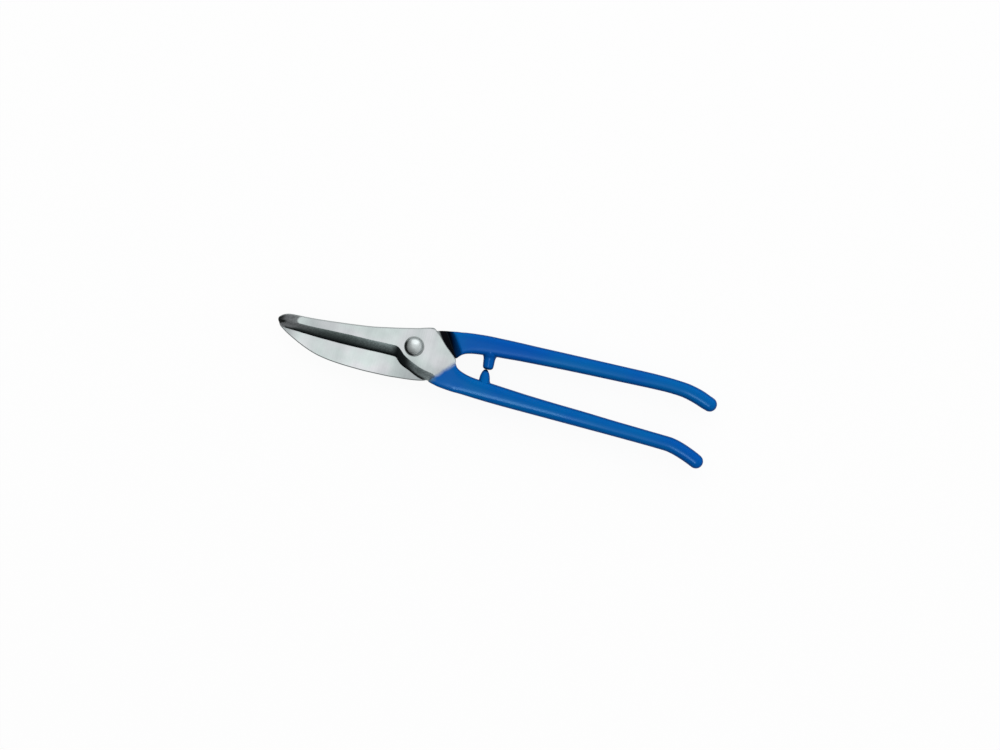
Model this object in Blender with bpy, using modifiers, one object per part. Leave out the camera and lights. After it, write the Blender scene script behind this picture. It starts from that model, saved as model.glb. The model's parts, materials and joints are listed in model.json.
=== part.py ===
"""Tin snips of the pelican pattern, closed, lying on the nut of their pivot bolt.

Two forged levers cross on one bolt. The fixed half is the narrow upper blade with the lower
handle, and the moving half is the deep lower blade with the upper handle. Both handles wear a
dipped coating, and two pegs between them stop the blades as they close.
Metres, +X towards the handles, +Y towards the upper handle, +Z up along the pivot.
"""
import math

import bmesh
import bpy
from mathutils import Vector

# Driving dimensions
BLADE_REACH = 0.0923  # pivot to the nose
HUB_REACH = 0.0300  # pivot to the crotch between the handles
HEAD_DEPTH = 0.0243  # pivot line to the belly of the lower blade
PLATE_THICKNESS = 0.0060  # each lever where the two cross
HANDLE_REACH = 0.2000  # pivot to the start of the rounded handle ends
HANDLE_SPREAD = 0.0200  # pivot line to the far side of the handles
HANDLE_WIDTH = 0.0100  # grip, seen from above
HANDLE_THICKNESS = 0.0100  # grip, seen from the side
PIVOT_RADIUS = 0.0040  # bolt shank

# Gaps and finishes shared by the pieces
CONTACT_GAP = 0.0003  # between faces that touch on the real tool
RUNNING_CLEARANCE = 0.00008  # bolt shank in its bearing hole, on the radius
SHOULDER_CLEARANCE = 0.0007  # a lever's heel past the other lever's handle
OVERRUN = 0.0020  # how far a cutter runs past what it cuts
COAT_WALL = 0.0008  # dipped coating
EDGE_LAND = 0.0004  # flat left along the cutting edges
BACK_ROUND = 0.0007  # eased corner along the backs of the blades
BEVEL_SWELL = 0.8  # how full the forged bevel is, 0 for a flat one

# Levels measured from the shear plane between the blades
HALF_GAP = CONTACT_GAP / 2
FACE_LEVEL = HALF_GAP + PLATE_THICKNESS

# Pivot bolt, washers and nut
HEAD_OVERHANG = 0.00265  # rim of the head past the shank
HEAD_RIM_HEIGHT = 0.0008
HEAD_RIM_STEP = 0.00055  # rim showing round the dome
HEAD_DOME_HEIGHT = 0.0034
NECK_STEP = 0.0002  # flats of the square neck past the shank
BOLT_CHAMFER = 0.0005
BOLT_END_SHOW = 0.0006  # thread past the nut
SPRING_WASHER_WIDTH = 0.0032
SPRING_WASHER_THICKNESS = 0.0007
SPRING_WASHER_DISH = 0.0004
FLAT_WASHER_WIDTH = 0.0037
FLAT_WASHER_THICKNESS = 0.0008
NUT_HEX_HEIGHT = 0.0028
NUT_COLLAR_HEIGHT = 0.0014
NUT_COLLAR_WALL = 0.0005
NUT_FLAT_STEP = 0.0004  # flats of the hexagon past the collar
NUT_LIP = 0.0003
LOCK_RING_WALL = 0.0010
LOCK_RING_HEIGHT = 0.0009

# The stack under the lower blade, worked downwards, and the height of the shear plane
SPRING_WASHER_TOP = -FACE_LEVEL - CONTACT_GAP
SPRING_WASHER_BASE = SPRING_WASHER_TOP - SPRING_WASHER_THICKNESS - SPRING_WASHER_DISH
FLAT_WASHER_TOP = SPRING_WASHER_BASE - CONTACT_GAP
NUT_TOP = FLAT_WASHER_TOP - FLAT_WASHER_THICKNESS - CONTACT_GAP
NUT_BASE = NUT_TOP - NUT_HEX_HEIGHT - NUT_COLLAR_HEIGHT
BOLT_END = NUT_BASE - BOLT_END_SHOW
SHEAR_HEIGHT = -BOLT_END

# Radii that follow the shank
HEAD_RIM_RADIUS = PIVOT_RADIUS + HEAD_OVERHANG
HEAD_DOME_RADIUS = HEAD_RIM_RADIUS - HEAD_RIM_STEP
NECK_HALF_SIDE = PIVOT_RADIUS + NECK_STEP
LOOSE_BORE = PIVOT_RADIUS + CONTACT_GAP
SPRING_WASHER_RADIUS = LOOSE_BORE + SPRING_WASHER_WIDTH
FLAT_WASHER_RADIUS = LOOSE_BORE + FLAT_WASHER_WIDTH
LOCK_RING_RADIUS = LOOSE_BORE + LOCK_RING_WALL
NUT_COLLAR_RADIUS = LOCK_RING_RADIUS + CONTACT_GAP + NUT_COLLAR_WALL
NUT_CORNER_RADIUS = (NUT_COLLAR_RADIUS + NUT_FLAT_STEP) / math.cos(math.pi / 6)

# Stops between the handles
STOP_SHANK_RADIUS = 0.0024
STOP_SHANK_DEPTH = 0.0045
UPPER_STOP_RADIUS = 0.00365
UPPER_STOP_ROUND = 0.0012
LOWER_STOP_RADIUS = 0.0038
LOWER_STOP_TIP_RADIUS = 0.0011
STOP_LEVEL_SHARE = -0.10  # end of the upper stop, of the handle spread
UPPER_STOP_SHARES = (0.2525, 0.2565)  # root and tip along the handle reach
LOWER_STOP_SHARES = (0.2540, 0.2480)
LOWER_STOP_PROFILE_SHARES = ((0.00, 1.00), (0.18, 0.97), (0.40, 0.88), (0.60, 0.74), (0.80, 0.53))

# Each row of a lever's plate: place along the blade or hub reach, then back, top of the bevel and
# cutting edge in shares of the head depth, then thickness in shares of the plate thickness
UPPER_PLATE_SHARES = (
    (-1.000, -0.189, -0.206, -0.239, 0.15),
    (-0.996, -0.160, -0.206, -0.272, 0.22),
    (-0.988, -0.132, -0.214, -0.313, 0.30),
    (-0.975, -0.091, -0.222, -0.366, 0.40),
    (-0.959, -0.058, -0.226, -0.395, 0.52),
    (-0.932, -0.021, -0.226, -0.409, 0.67),
    (-0.899, -0.004, -0.218, -0.418, 0.82),
    (-0.861, 0.004, -0.206, -0.424, 0.93),
    (-0.758, 0.029, -0.202, -0.436, 0.98),
    (-0.650, 0.070, -0.181, -0.444, 1.00),
    (-0.542, 0.119, -0.160, -0.444, 1.00),
    (-0.433, 0.173, -0.144, -0.436, 1.00),
    (-0.325, 0.235, -0.136, -0.424, 1.00),
    (-0.217, 0.321, -0.119, -0.407, 1.00),
    (-0.130, 0.395, -0.107, -0.403, 1.00),
    (-0.108, 0.412, -0.128, -0.420, 1.00),
    (-0.092, 0.428, -0.169, -0.477, 1.00),
    (-0.076, 0.440, -0.222, -0.535, 1.00),
    (-0.054, 0.465, -0.296, -0.588, 1.00),
    (0.000, 0.519, -0.403, -0.667, 1.00),
    (0.167, 0.584, -0.494, -0.753, 1.00),
    (0.267, 0.617, -0.539, -0.786, 1.00),
    (0.317, 0.625, -0.562, -0.799, 1.00),
    (0.350, 0.611, -0.575, -0.803, 1.00),
    (0.400, 0.556, -0.597, -0.802, 1.00),
    (0.467, 0.494, -0.650, -0.798, 1.00),
    (0.533, 0.424, -0.733, -0.831, 1.00),
    (0.667, 0.255, -0.807, -0.864, 1.00),
    (0.833, 0.082, -0.848, -0.897, 1.00),
    (0.950, -0.062, -0.864, -0.909, 1.00),
    (0.977, -0.123, -0.868, -0.914, 1.00),
)
LOWER_PLATE_SHARES = (
    (-0.985, -0.354, -0.313, -0.296, 0.25),
    (-0.975, -0.391, -0.321, -0.272, 0.37),
    (-0.948, -0.465, -0.354, -0.251, 0.50),
    (-0.921, -0.535, -0.395, -0.239, 0.62),
    (-0.867, -0.617, -0.428, -0.226, 0.75),
    (-0.813, -0.700, -0.444, -0.218, 0.83),
    (-0.758, -0.782, -0.453, -0.210, 0.90),
    (-0.704, -0.856, -0.453, -0.206, 0.95),
    (-0.650, -0.905, -0.449, -0.202, 0.98),
    (-0.542, -0.959, -0.440, -0.193, 1.00),
    (-0.433, -0.992, -0.436, -0.189, 1.00),
    (-0.325, -1.000, -0.432, -0.185, 1.00),
    (-0.217, -0.992, -0.428, -0.181, 1.00),
    (-0.130, -0.975, -0.412, -0.177, 1.00),
    (-0.108, -0.967, -0.350, -0.140, 1.00),
    (-0.098, -0.963, -0.267, -0.062, 1.00),
    (-0.087, -0.959, -0.123, 0.062, 1.00),
    (-0.065, -0.951, 0.062, 0.226, 1.00),
    (-0.033, -0.934, 0.214, 0.358, 1.00),
    (0.000, -0.918, 0.313, 0.428, 1.00),
    (0.167, -0.885, 0.420, 0.502, 1.00),
    (0.333, -0.848, 0.510, 0.560, 1.00),
    (0.417, -0.815, 0.543, 0.580, 1.00),
    (0.450, -0.737, 0.556, 0.588, 1.00),
    (0.500, -0.658, 0.576, 0.609, 1.00),
    (0.600, -0.514, 0.605, 0.634, 1.00),
    (0.683, -0.391, 0.626, 0.654, 1.00),
    (0.760, -0.247, 0.642, 0.671, 1.00),
    (0.800, -0.099, 0.654, 0.683, 1.00),
    (0.867, -0.049, 0.667, 0.695, 1.00),
    (1.000, -0.008, 0.700, 0.724, 1.00),
)

# Each row of a handle: inner edge along the handle reach and the spread, width in shares of the
# handle width, and the lean of the section in degrees
UPPER_HANDLE_SHARES = (
    (0.070, 0.050, 1.00, 0),
    (0.085, -0.030, 1.58, 0),
    (0.100, -0.030, 1.64, 0),
    (0.125, -0.020, 1.72, 0),
    (0.140, -0.010, 1.74, 0),
    (0.150, 0.015, 1.73, 0),
    (0.158, 0.095, 1.60, 0),
    (0.165, 0.150, 1.51, 0),
    (0.175, 0.200, 1.44, 0),
    (0.200, 0.270, 1.36, 0),
    (0.225, 0.310, 1.33, 0),
    (0.270, 0.360, 1.28, 0),
    (0.300, 0.385, 1.26, 0),
    (0.350, 0.430, 1.21, 0),
    (0.400, 0.465, 1.17, 0),
    (0.500, 0.530, 1.12, 0),
    (0.600, 0.585, 1.08, 0),
    (0.700, 0.635, 1.05, 0),
    (0.800, 0.690, 1.02, 0),
    (0.850, 0.705, 0.99, -3),
    (0.875, 0.700, 0.98, -6),
    (0.900, 0.680, 0.98, -11),
    (0.925, 0.635, 0.97, -17),
    (0.950, 0.570, 0.96, -20),
    (0.975, 0.490, 0.95, -22),
    (0.992, 0.448, 0.94, -22),
)
LOWER_HANDLE_SHARES = (
    (0.060, -0.225, 1.00, 0),
    (0.072, -0.200, 1.57, 0),
    (0.080, -0.195, 1.63, 0),
    (0.100, -0.195, 1.71, 0),
    (0.125, -0.200, 1.78, 0),
    (0.140, -0.210, 1.79, 0),
    (0.150, -0.250, 1.73, 0),
    (0.155, -0.305, 1.63, 0),
    (0.165, -0.370, 1.51, 0),
    (0.175, -0.410, 1.44, 0),
    (0.200, -0.475, 1.33, 0),
    (0.225, -0.505, 1.29, 0),
    (0.270, -0.520, 1.29, 0),
    (0.300, -0.535, 1.27, 0),
    (0.350, -0.560, 1.23, 0),
    (0.400, -0.585, 1.18, 0),
    (0.500, -0.615, 1.12, 0),
    (0.600, -0.635, 1.08, 0),
    (0.700, -0.665, 1.02, 0),
    (0.800, -0.685, 0.99, 0),
    (0.850, -0.695, 0.98, -2),
    (0.900, -0.720, 0.98, -6),
    (0.925, -0.760, 0.97, -12),
    (0.950, -0.825, 0.97, -20),
    (0.975, -0.910, 0.96, -22),
    (1.000, -1.015, 0.94, -24),
    (1.015, -1.080, 0.94, -25),
)
# Along the handle reach: thickness in shares of the handle thickness, and how square it is
HANDLE_SECTION_SHARES = (
    (0.150, 1.21, 6.0),
    (0.200, 1.17, 4.0),
    (0.300, 1.10, 3.0),
    (0.500, 1.03, 2.5),
    (0.700, 0.98, 2.4),
    (1.000, 0.94, 2.3),
)

# Fineness of the round shapes
HANDLE_SIDES = 16
END_ANGLES = (25, 48, 67, 82)  # rings of the rounded handle ends, in degrees
TURNED_STEPS = 32
BEVEL_STEPS = 5
SMOOTH_ANGLE = math.radians(32)
WELD_DISTANCE = 0.00001
EDGE_LAND_LIMIT_SHARE = 0.25  # of the thickness at the thin nose
ROUND_LIMIT_SHARE = 0.3  # of the narrow nose

# Where the coatings start, as planes square to a direction out of the pivot
LOWER_COAT_ANGLE = math.radians(-41.7)
UPPER_COAT_ANGLE = math.radians(35.0)
UPPER_STEP_WIDTH = 0.0036  # low part of the upper handle beside the hub

# Materials: colour, roughness, metallic
FINISHES = {
    "ground_steel": ((0.62, 0.64, 0.63, 1.0), 0.32, 1.0),
    "blue_coating": ((0.0, 0.10, 0.38, 1.0), 0.25, 0.0),
    "bright_bolt": ((0.70, 0.71, 0.70, 1.0), 0.25, 1.0),
    "plated_steel": ((0.55, 0.55, 0.53, 1.0), 0.38, 1.0),
    "white_nylon": ((0.75, 0.74, 0.70, 1.0), 0.50, 0.0),
}


def clear_scene():
    for item in list(bpy.data.objects):
        bpy.data.objects.remove(item, do_unlink=True)


def new_collection(name):
    collection = bpy.data.collections.new(name)
    bpy.context.scene.collection.children.link(collection)
    return collection


def finish_material(name):
    material = bpy.data.materials.get(name)
    if material is None:
        colour, roughness, metallic = FINISHES[name]
        material = bpy.data.materials.new(name)
        material.use_nodes = True
        shader = material.node_tree.nodes["Principled BSDF"]
        shader.inputs["Base Color"].default_value = colour
        shader.inputs["Roughness"].default_value = roughness
        shader.inputs["Metallic"].default_value = metallic
        material.diffuse_color = colour
    return material


def add_part(name, mesh, parent, finish):
    part = bpy.data.objects.new(name, mesh)
    snips.objects.link(part)
    part.parent = parent
    mesh.materials.append(finish_material(finish))
    mesh.shade_smooth()
    mesh.set_sharp_from_angle(angle=SMOOTH_ANGLE)
    return part


def add_cutter(name, mesh, parent):
    cutter = bpy.data.objects.new(name, mesh)
    cutters.objects.link(cutter)
    cutter.parent = parent
    cutter.hide_render = True
    cutter.display_type = "WIRE"
    return cutter


def combine(target, operation, other):
    modifier = target.modifiers.new(other.name, "BOOLEAN")
    modifier.operation = operation
    modifier.solver = "EXACT"
    modifier.object = other


def loft_mesh(name, rings):
    """Closed skin over rings of equal count, with a flat face over the first and the last."""
    work = bmesh.new()
    rows = [[work.verts.new(point) for point in ring] for ring in rings]
    for start, end in zip(rows, rows[1:]):
        for index in range(len(start)):
            after = (index + 1) % len(start)
            work.faces.new((start[index], start[after], end[after], end[index]))
    work.faces.new(rows[0])
    work.faces.new(rows[-1])
    bmesh.ops.recalc_face_normals(work, faces=work.faces)
    mesh = bpy.data.meshes.new(name)
    work.to_mesh(mesh)
    work.free()
    return mesh


def box_mesh(name, low, high):
    size = [top - bottom for bottom, top in zip(low, high)]
    middle = [(top + bottom) / 2 for bottom, top in zip(low, high)]
    work = bmesh.new()
    bmesh.ops.create_cube(work, size=1)
    bmesh.ops.scale(work, vec=size, verts=work.verts)
    bmesh.ops.translate(work, vec=middle, verts=work.verts)
    mesh = bpy.data.meshes.new(name)
    work.to_mesh(mesh)
    work.free()
    return mesh


def rod_mesh(name, radius, low, high, sides=TURNED_STEPS):
    """Upright cylinder between two levels."""
    work = bmesh.new()
    bmesh.ops.create_cone(
        work, cap_ends=True, segments=sides, radius1=radius, radius2=radius, depth=high - low
    )
    bmesh.ops.translate(work, vec=(0, 0, (low + high) / 2), verts=work.verts)
    mesh = bpy.data.meshes.new(name)
    work.to_mesh(mesh)
    work.free()
    return mesh


def profile_mesh(name, points, closed=False):
    """Outline of a turned piece as radius and level, from the top down its outer side."""
    mesh = bpy.data.meshes.new(name)
    edges = [(index, index + 1) for index in range(len(points) - 1)]
    if closed:
        edges.append((len(points) - 1, 0))
    mesh.from_pydata([(radius, 0, level) for radius, level in points], edges, [])
    return mesh


def turn(part):
    screw = part.modifiers.new("turned", "SCREW")
    screw.steps = TURNED_STEPS
    screw.render_steps = TURNED_STEPS
    screw.use_merge_vertices = True
    screw.merge_threshold = WELD_DISTANCE
    screw.use_smooth_shade = True


def half_space(name, angle, low, high, parent):
    """Box cutter between two places along a direction out of the pivot, and two levels."""
    spread = HANDLE_REACH
    mesh = box_mesh(name, (low[0], -spread, low[1]), (high[0], spread, high[1]))
    cutter = add_cutter(name, mesh, parent)
    cutter.rotation_euler = (0, 0, angle)
    return cutter


def plate_place(share):
    return share * (BLADE_REACH if share < 0 else HUB_REACH)


def plate_section(row, direction):
    """One cut across a lever's plate, from the cutting edge over the bevel to the back."""
    reach_share, back_share, land_share, edge_share, thickness_share = row
    x = plate_place(reach_share)
    back = back_share * HEAD_DEPTH
    land = land_share * HEAD_DEPTH
    edge = edge_share * HEAD_DEPTH
    thickness = thickness_share * PLATE_THICKNESS
    edge_land = min(EDGE_LAND, thickness * EDGE_LAND_LIMIT_SHARE)
    rounding = min(BACK_ROUND, thickness * ROUND_LIMIT_SHARE, abs(back - land) * ROUND_LIMIT_SHARE)
    inward = math.copysign(rounding, land - back)
    points = [(edge, 0), (edge, edge_land)]
    for step in range(1, BEVEL_STEPS):
        share = step / BEVEL_STEPS
        rise = share + BEVEL_SWELL * share * (1 - share)
        points.append((edge + (land - edge) * share, edge_land + (thickness - edge_land) * rise))
    points.append((land, thickness))
    points.append((back + inward, thickness))
    points.append((back, thickness - rounding))
    points.append((back, 0))
    return [(x, y, direction * (HALF_GAP + level)) for y, level in points]


def section_shape(reach_share):
    """Thickness and squareness of a handle at a place along its reach."""
    rows = HANDLE_SECTION_SHARES
    if reach_share <= rows[0][0]:
        return rows[0][1] * HANDLE_THICKNESS, rows[0][2]
    for start, end in zip(rows, rows[1:]):
        if reach_share <= end[0]:
            part = (reach_share - start[0]) / (end[0] - start[0])
            thickness_share = start[1] + (end[1] - start[1]) * part
            return thickness_share * HANDLE_THICKNESS, start[2] + (end[2] - start[2]) * part
    return rows[-1][1] * HANDLE_THICKNESS, rows[-1][2]


def oval_ring(centre, across, half_width, half_thickness, squareness):
    ring = []
    for index in range(HANDLE_SIDES):
        angle = math.tau * index / HANDLE_SIDES
        side = math.copysign(abs(math.cos(angle)) ** (2 / squareness), math.cos(angle))
        rise = math.copysign(abs(math.sin(angle)) ** (2 / squareness), math.sin(angle))
        ring.append(centre + across * side * half_width + Vector((0, 0, rise * half_thickness)))
    return ring


def handle_rings(rows, outward, inset):
    """Rings of a handle's skin, or of a skin set inside it, with a rounded end."""
    rings = []
    for reach_share, inner_share, width_share, lean in rows:
        across = Vector((-math.sin(math.radians(lean)), math.cos(math.radians(lean)), 0)) * outward
        width = width_share * HANDLE_WIDTH
        inner = Vector((reach_share * HANDLE_REACH, inner_share * HANDLE_SPREAD, 0))
        centre = inner + across * width / 2
        thickness, squareness = section_shape(reach_share)
        half_width = width / 2 - inset
        half_thickness = thickness / 2 - inset
        rings.append(oval_ring(centre, across, half_width, half_thickness, squareness))
    along = Vector((across.y, -across.x, 0)) * outward
    for angle in END_ANGLES:
        shrink = math.cos(math.radians(angle))
        ahead = along * half_width * math.sin(math.radians(angle))
        ring = oval_ring(
            centre + ahead, across, half_width * shrink, half_thickness * shrink, squareness
        )
        rings.append(ring)
    return rings


def inner_edge(rows, reach_share):
    """Point on a handle's inner edge, between two of its rows."""
    for start, end in zip(rows, rows[1:]):
        if start[0] <= reach_share <= end[0]:
            part = (reach_share - start[0]) / (end[0] - start[0])
            inner_share = start[1] + (end[1] - start[1]) * part
            return Vector((reach_share * HANDLE_REACH, inner_share * HANDLE_SPREAD, 0))
    raise ValueError("no handle at this place")


def heel_distance(rows, direction):
    """How far a plate's heel reaches along a direction out of the pivot."""
    points = [Vector((plate_place(row[0]), row[1] * HEAD_DEPTH)) for row in rows if row[0] > 0]
    return max(point.dot(direction) for point in points)


def heel_radius(rows, below):
    """Largest distance from the pivot on the part of a plate's heel that lies below a level."""
    points = [Vector((plate_place(row[0]), row[1] * HEAD_DEPTH)) for row in rows if row[0] > 0]
    return max(point.length for point in points if point.y < below)


def empty_at_pivot(name):
    empty = bpy.data.objects.new(name, None)
    snips.objects.link(empty)
    empty.location = (0, 0, SHEAR_HEIGHT)
    return empty


clear_scene()
snips = new_collection("tin_snips")
cutters = new_collection("cutters")
fixed_half = empty_at_pivot("fixed_half")
moving_half = empty_at_pivot("moving_half")

# Where each coating starts, clear of the other lever's heel as the levers turn
crotch_level = inner_edge(LOWER_HANDLE_SHARES, HUB_REACH / HANDLE_REACH).y
lower_coat_start = heel_radius(LOWER_PLATE_SHARES, crotch_level) + SHOULDER_CLEARANCE
upper_direction = Vector((math.cos(UPPER_COAT_ANGLE), math.sin(UPPER_COAT_ANGLE)))
upper_coat_start = heel_distance(UPPER_PLATE_SHARES, upper_direction) + SHOULDER_CLEARANCE
upper_step = upper_coat_start + UPPER_STEP_WIDTH

# Reaches of the cutters past the whole tool, and the depth of the steel under the coatings
FAR_OUT = HANDLE_REACH + HANDLE_SPREAD
TALL = HANDLE_THICKNESS + PLATE_THICKNESS
TANG_INSET = COAT_WALL + CONTACT_GAP


def handle_skin(name, rows, outward, inset, parent):
    return add_cutter(name, loft_mesh(name, handle_rings(rows, outward, inset)), parent)


def build_lower_handle_tang(name, inset, parent):
    """Inside of the lower handle, which joins the upper blade above the shear plane only."""
    tang = handle_skin(name, LOWER_HANDLE_SHARES, -1, inset, parent)
    high = (lower_coat_start, HALF_GAP + inset)
    relief = half_space(name + "_relief", LOWER_COAT_ANGLE, (-FAR_OUT, -TALL), high, parent)
    combine(tang, "DIFFERENCE", relief)
    return tang


def build_upper_handle_tang(name, inset, parent):
    """Inside of the upper handle, which stays below the shear plane until past the step."""
    tang = handle_skin(name, UPPER_HANDLE_SHARES, 1, inset, parent)
    low = (-FAR_OUT, -HALF_GAP - inset)
    relief = half_space(name + "_relief", UPPER_COAT_ANGLE, low, (upper_step + inset, TALL), parent)
    combine(tang, "DIFFERENCE", relief)
    return tang


# The two stops, from root to tip
upper_root = inner_edge(UPPER_HANDLE_SHARES, UPPER_STOP_SHARES[0])
upper_tip = Vector((UPPER_STOP_SHARES[1] * HANDLE_REACH, STOP_LEVEL_SHARE * HANDLE_SPREAD, 0))
upper_axis = (upper_tip - upper_root).normalized()
lower_root = inner_edge(LOWER_HANDLE_SHARES, LOWER_STOP_SHARES[0])
# The lower stop's round tip stands one gap off the flat end of the upper stop
tip_x = LOWER_STOP_SHARES[1] * HANDLE_REACH
tip_stand_off = LOWER_STOP_TIP_RADIUS + CONTACT_GAP
tip_drop = (tip_stand_off - (tip_x - upper_tip.x) * upper_axis.x) / upper_axis.y
lower_tip_centre = Vector((tip_x, upper_tip.y + tip_drop, 0))
lower_axis = (lower_tip_centre - lower_root).normalized()
lower_tip = lower_tip_centre + lower_axis * LOWER_STOP_TIP_RADIUS


def point_along(item, root, axis):
    item.location = root
    item.rotation_mode = "QUATERNION"
    item.rotation_quaternion = axis.to_track_quat("Z", "Y")


def add_stop(name, root, axis, body_points, parent):
    """Turned peg: a shank in the handle, and a body that starts inside the coating."""
    points = list(body_points)
    points.append((body_points[-1][0], -COAT_WALL))
    points.append((STOP_SHANK_RADIUS, -COAT_WALL))
    points.append((STOP_SHANK_RADIUS, -COAT_WALL - STOP_SHANK_DEPTH))
    points.append((0, -COAT_WALL - STOP_SHANK_DEPTH))
    stop = add_part(name, profile_mesh(name, points), parent, "blue_coating")
    turn(stop)
    point_along(stop, root, axis)
    return stop


def stop_hole(name, radius, depth, root, axis, parent):
    """Round cutter along a stop, from outside the handle down to a depth below its surface."""
    hole = add_cutter(name, rod_mesh(name, radius + CONTACT_GAP, -depth, OVERRUN), parent)
    point_along(hole, root, axis)
    return hole


def seat_stop(lever, name, radius, root, axis, parent):
    """Spot face for a stop's body, and the socket for its shank."""
    seat = stop_hole(name + "_seat", radius, COAT_WALL + CONTACT_GAP, root, axis, parent)
    combine(lever, "DIFFERENCE", seat)
    depth = COAT_WALL + STOP_SHANK_DEPTH + CONTACT_GAP
    socket = stop_hole(name + "_socket", STOP_SHANK_RADIUS, depth, root, axis, parent)
    combine(lever, "DIFFERENCE", socket)


def build_upper_blade_lever():
    """Upper blade, hub and the tang of the lower handle, one forging."""
    sections = [plate_section(row, 1) for row in UPPER_PLATE_SHARES]
    plate = loft_mesh("upper_blade_lever", sections)
    lever = add_part("upper_blade_lever", plate, fixed_half, "ground_steel")
    end = lower_coat_start - CONTACT_GAP
    trim = half_space("upper_blade_lever_end", LOWER_COAT_ANGLE, (end, -TALL), (FAR_OUT, TALL), fixed_half)
    combine(lever, "DIFFERENCE", trim)
    combine(lever, "UNION", build_lower_handle_tang("lower_handle_tang", TANG_INSET, fixed_half))
    half_side = NECK_HALF_SIDE + CONTACT_GAP
    low = (-half_side, -half_side, -OVERRUN)
    high = (half_side, half_side, FACE_LEVEL + OVERRUN)
    combine(lever, "DIFFERENCE", add_cutter("neck_hole", box_mesh("neck_hole", low, high), fixed_half))
    seat_stop(lever, "lower_stop", LOWER_STOP_RADIUS, lower_root, lower_axis, fixed_half)


def build_lower_blade_lever():
    """Deep lower blade, hub and the tang of the upper handle, one forging."""
    sections = [plate_section(row, -1) for row in LOWER_PLATE_SHARES]
    plate = loft_mesh("lower_blade_lever", sections)
    lever = add_part("lower_blade_lever", plate, moving_half, "ground_steel")
    end = upper_coat_start - CONTACT_GAP
    trim = half_space("lower_blade_lever_end", UPPER_COAT_ANGLE, (end, -TALL), (FAR_OUT, TALL), moving_half)
    combine(lever, "DIFFERENCE", trim)
    combine(lever, "UNION", build_upper_handle_tang("upper_handle_tang", TANG_INSET, moving_half))
    mesh = rod_mesh("bearing_hole", PIVOT_RADIUS + RUNNING_CLEARANCE, -FACE_LEVEL - OVERRUN, OVERRUN)
    combine(lever, "DIFFERENCE", add_cutter("bearing_hole", mesh, moving_half))
    seat_stop(lever, "upper_stop", UPPER_STOP_RADIUS, upper_root, upper_axis, moving_half)


def build_lower_handle_coating():
    rings = handle_rings(LOWER_HANDLE_SHARES, -1, 0)
    skin = loft_mesh("lower_handle_coating", rings)
    coat = add_part("lower_handle_coating", skin, fixed_half, "blue_coating")
    start = lower_coat_start
    trim = half_space("lower_coating_start", LOWER_COAT_ANGLE, (-FAR_OUT, -TALL), (start, TALL), fixed_half)
    combine(coat, "DIFFERENCE", trim)
    inside = handle_skin("lower_coating_inside", LOWER_HANDLE_SHARES, -1, COAT_WALL, fixed_half)
    combine(coat, "DIFFERENCE", inside)
    depth = COAT_WALL + OVERRUN
    opening = stop_hole("lower_stop_opening", LOWER_STOP_RADIUS, depth, lower_root, lower_axis, fixed_half)
    combine(coat, "DIFFERENCE", opening)


def build_upper_handle_coating():
    rings = handle_rings(UPPER_HANDLE_SHARES, 1, 0)
    skin = loft_mesh("upper_handle_coating", rings)
    coat = add_part("upper_handle_coating", skin, moving_half, "blue_coating")
    start = upper_coat_start
    trim = half_space("upper_coating_start", UPPER_COAT_ANGLE, (-FAR_OUT, -TALL), (start, TALL), moving_half)
    combine(coat, "DIFFERENCE", trim)
    low = (-FAR_OUT, -HALF_GAP)
    step = half_space("upper_coating_step", UPPER_COAT_ANGLE, low, (upper_step, TALL), moving_half)
    combine(coat, "DIFFERENCE", step)
    combine(coat, "DIFFERENCE", build_upper_handle_tang("upper_coating_inside", COAT_WALL, moving_half))
    depth = COAT_WALL + OVERRUN
    opening = stop_hole("upper_stop_opening", UPPER_STOP_RADIUS, depth, upper_root, upper_axis, moving_half)
    combine(coat, "DIFFERENCE", opening)


def build_stops():
    """Round-ended peg on the upper handle, and a tapered one with a round tip on the lower."""
    length = (upper_tip - upper_root).length
    body = [(0, length)]
    for angle in (0, 30, 60, 90):
        side = math.sin(math.radians(angle)) * UPPER_STOP_ROUND
        drop = (1 - math.cos(math.radians(angle))) * UPPER_STOP_ROUND
        body.append((UPPER_STOP_RADIUS - UPPER_STOP_ROUND + side, length - drop))
    add_stop("upper_stop_peg", upper_root, upper_axis, body, moving_half)
    length = (lower_tip - lower_root).length
    body = [(0, length)]
    for angle in (30, 60):
        side = math.sin(math.radians(angle)) * LOWER_STOP_TIP_RADIUS
        body.append((side, length - (1 - math.cos(math.radians(angle))) * LOWER_STOP_TIP_RADIUS))
    for height_share, radius_share in reversed(LOWER_STOP_PROFILE_SHARES):
        body.append((LOWER_STOP_RADIUS * radius_share, length * height_share))
    add_stop("lower_stop_peg", lower_root, lower_axis, body, fixed_half)


def build_pivot_bolt():
    """Round-headed bolt with a square neck, turned down to a shank."""
    head_base = FACE_LEVEL + CONTACT_GAP
    dome_base = head_base + HEAD_RIM_HEIGHT
    points = [(0, dome_base + HEAD_DOME_HEIGHT)]
    for angle in (15, 30, 45, 60, 75, 90):
        side = math.sin(math.radians(angle)) * HEAD_DOME_RADIUS
        points.append((side, dome_base + math.cos(math.radians(angle)) * HEAD_DOME_HEIGHT))
    points.append((HEAD_RIM_RADIUS, dome_base))
    points.append((HEAD_RIM_RADIUS, head_base))
    points.append((PIVOT_RADIUS, head_base))
    points.append((PIVOT_RADIUS, BOLT_END + BOLT_CHAMFER))
    points.append((PIVOT_RADIUS - BOLT_CHAMFER, BOLT_END))
    points.append((0, BOLT_END))
    bolt = add_part("pivot_bolt", profile_mesh("pivot_bolt", points), fixed_half, "bright_bolt")
    turn(bolt)
    low = (-NECK_HALF_SIDE, -NECK_HALF_SIDE, HALF_GAP + CONTACT_GAP)
    high = (NECK_HALF_SIDE, NECK_HALF_SIDE, head_base + HEAD_RIM_HEIGHT / 2)
    combine(bolt, "UNION", add_cutter("square_neck", box_mesh("square_neck", low, high), fixed_half))


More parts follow.
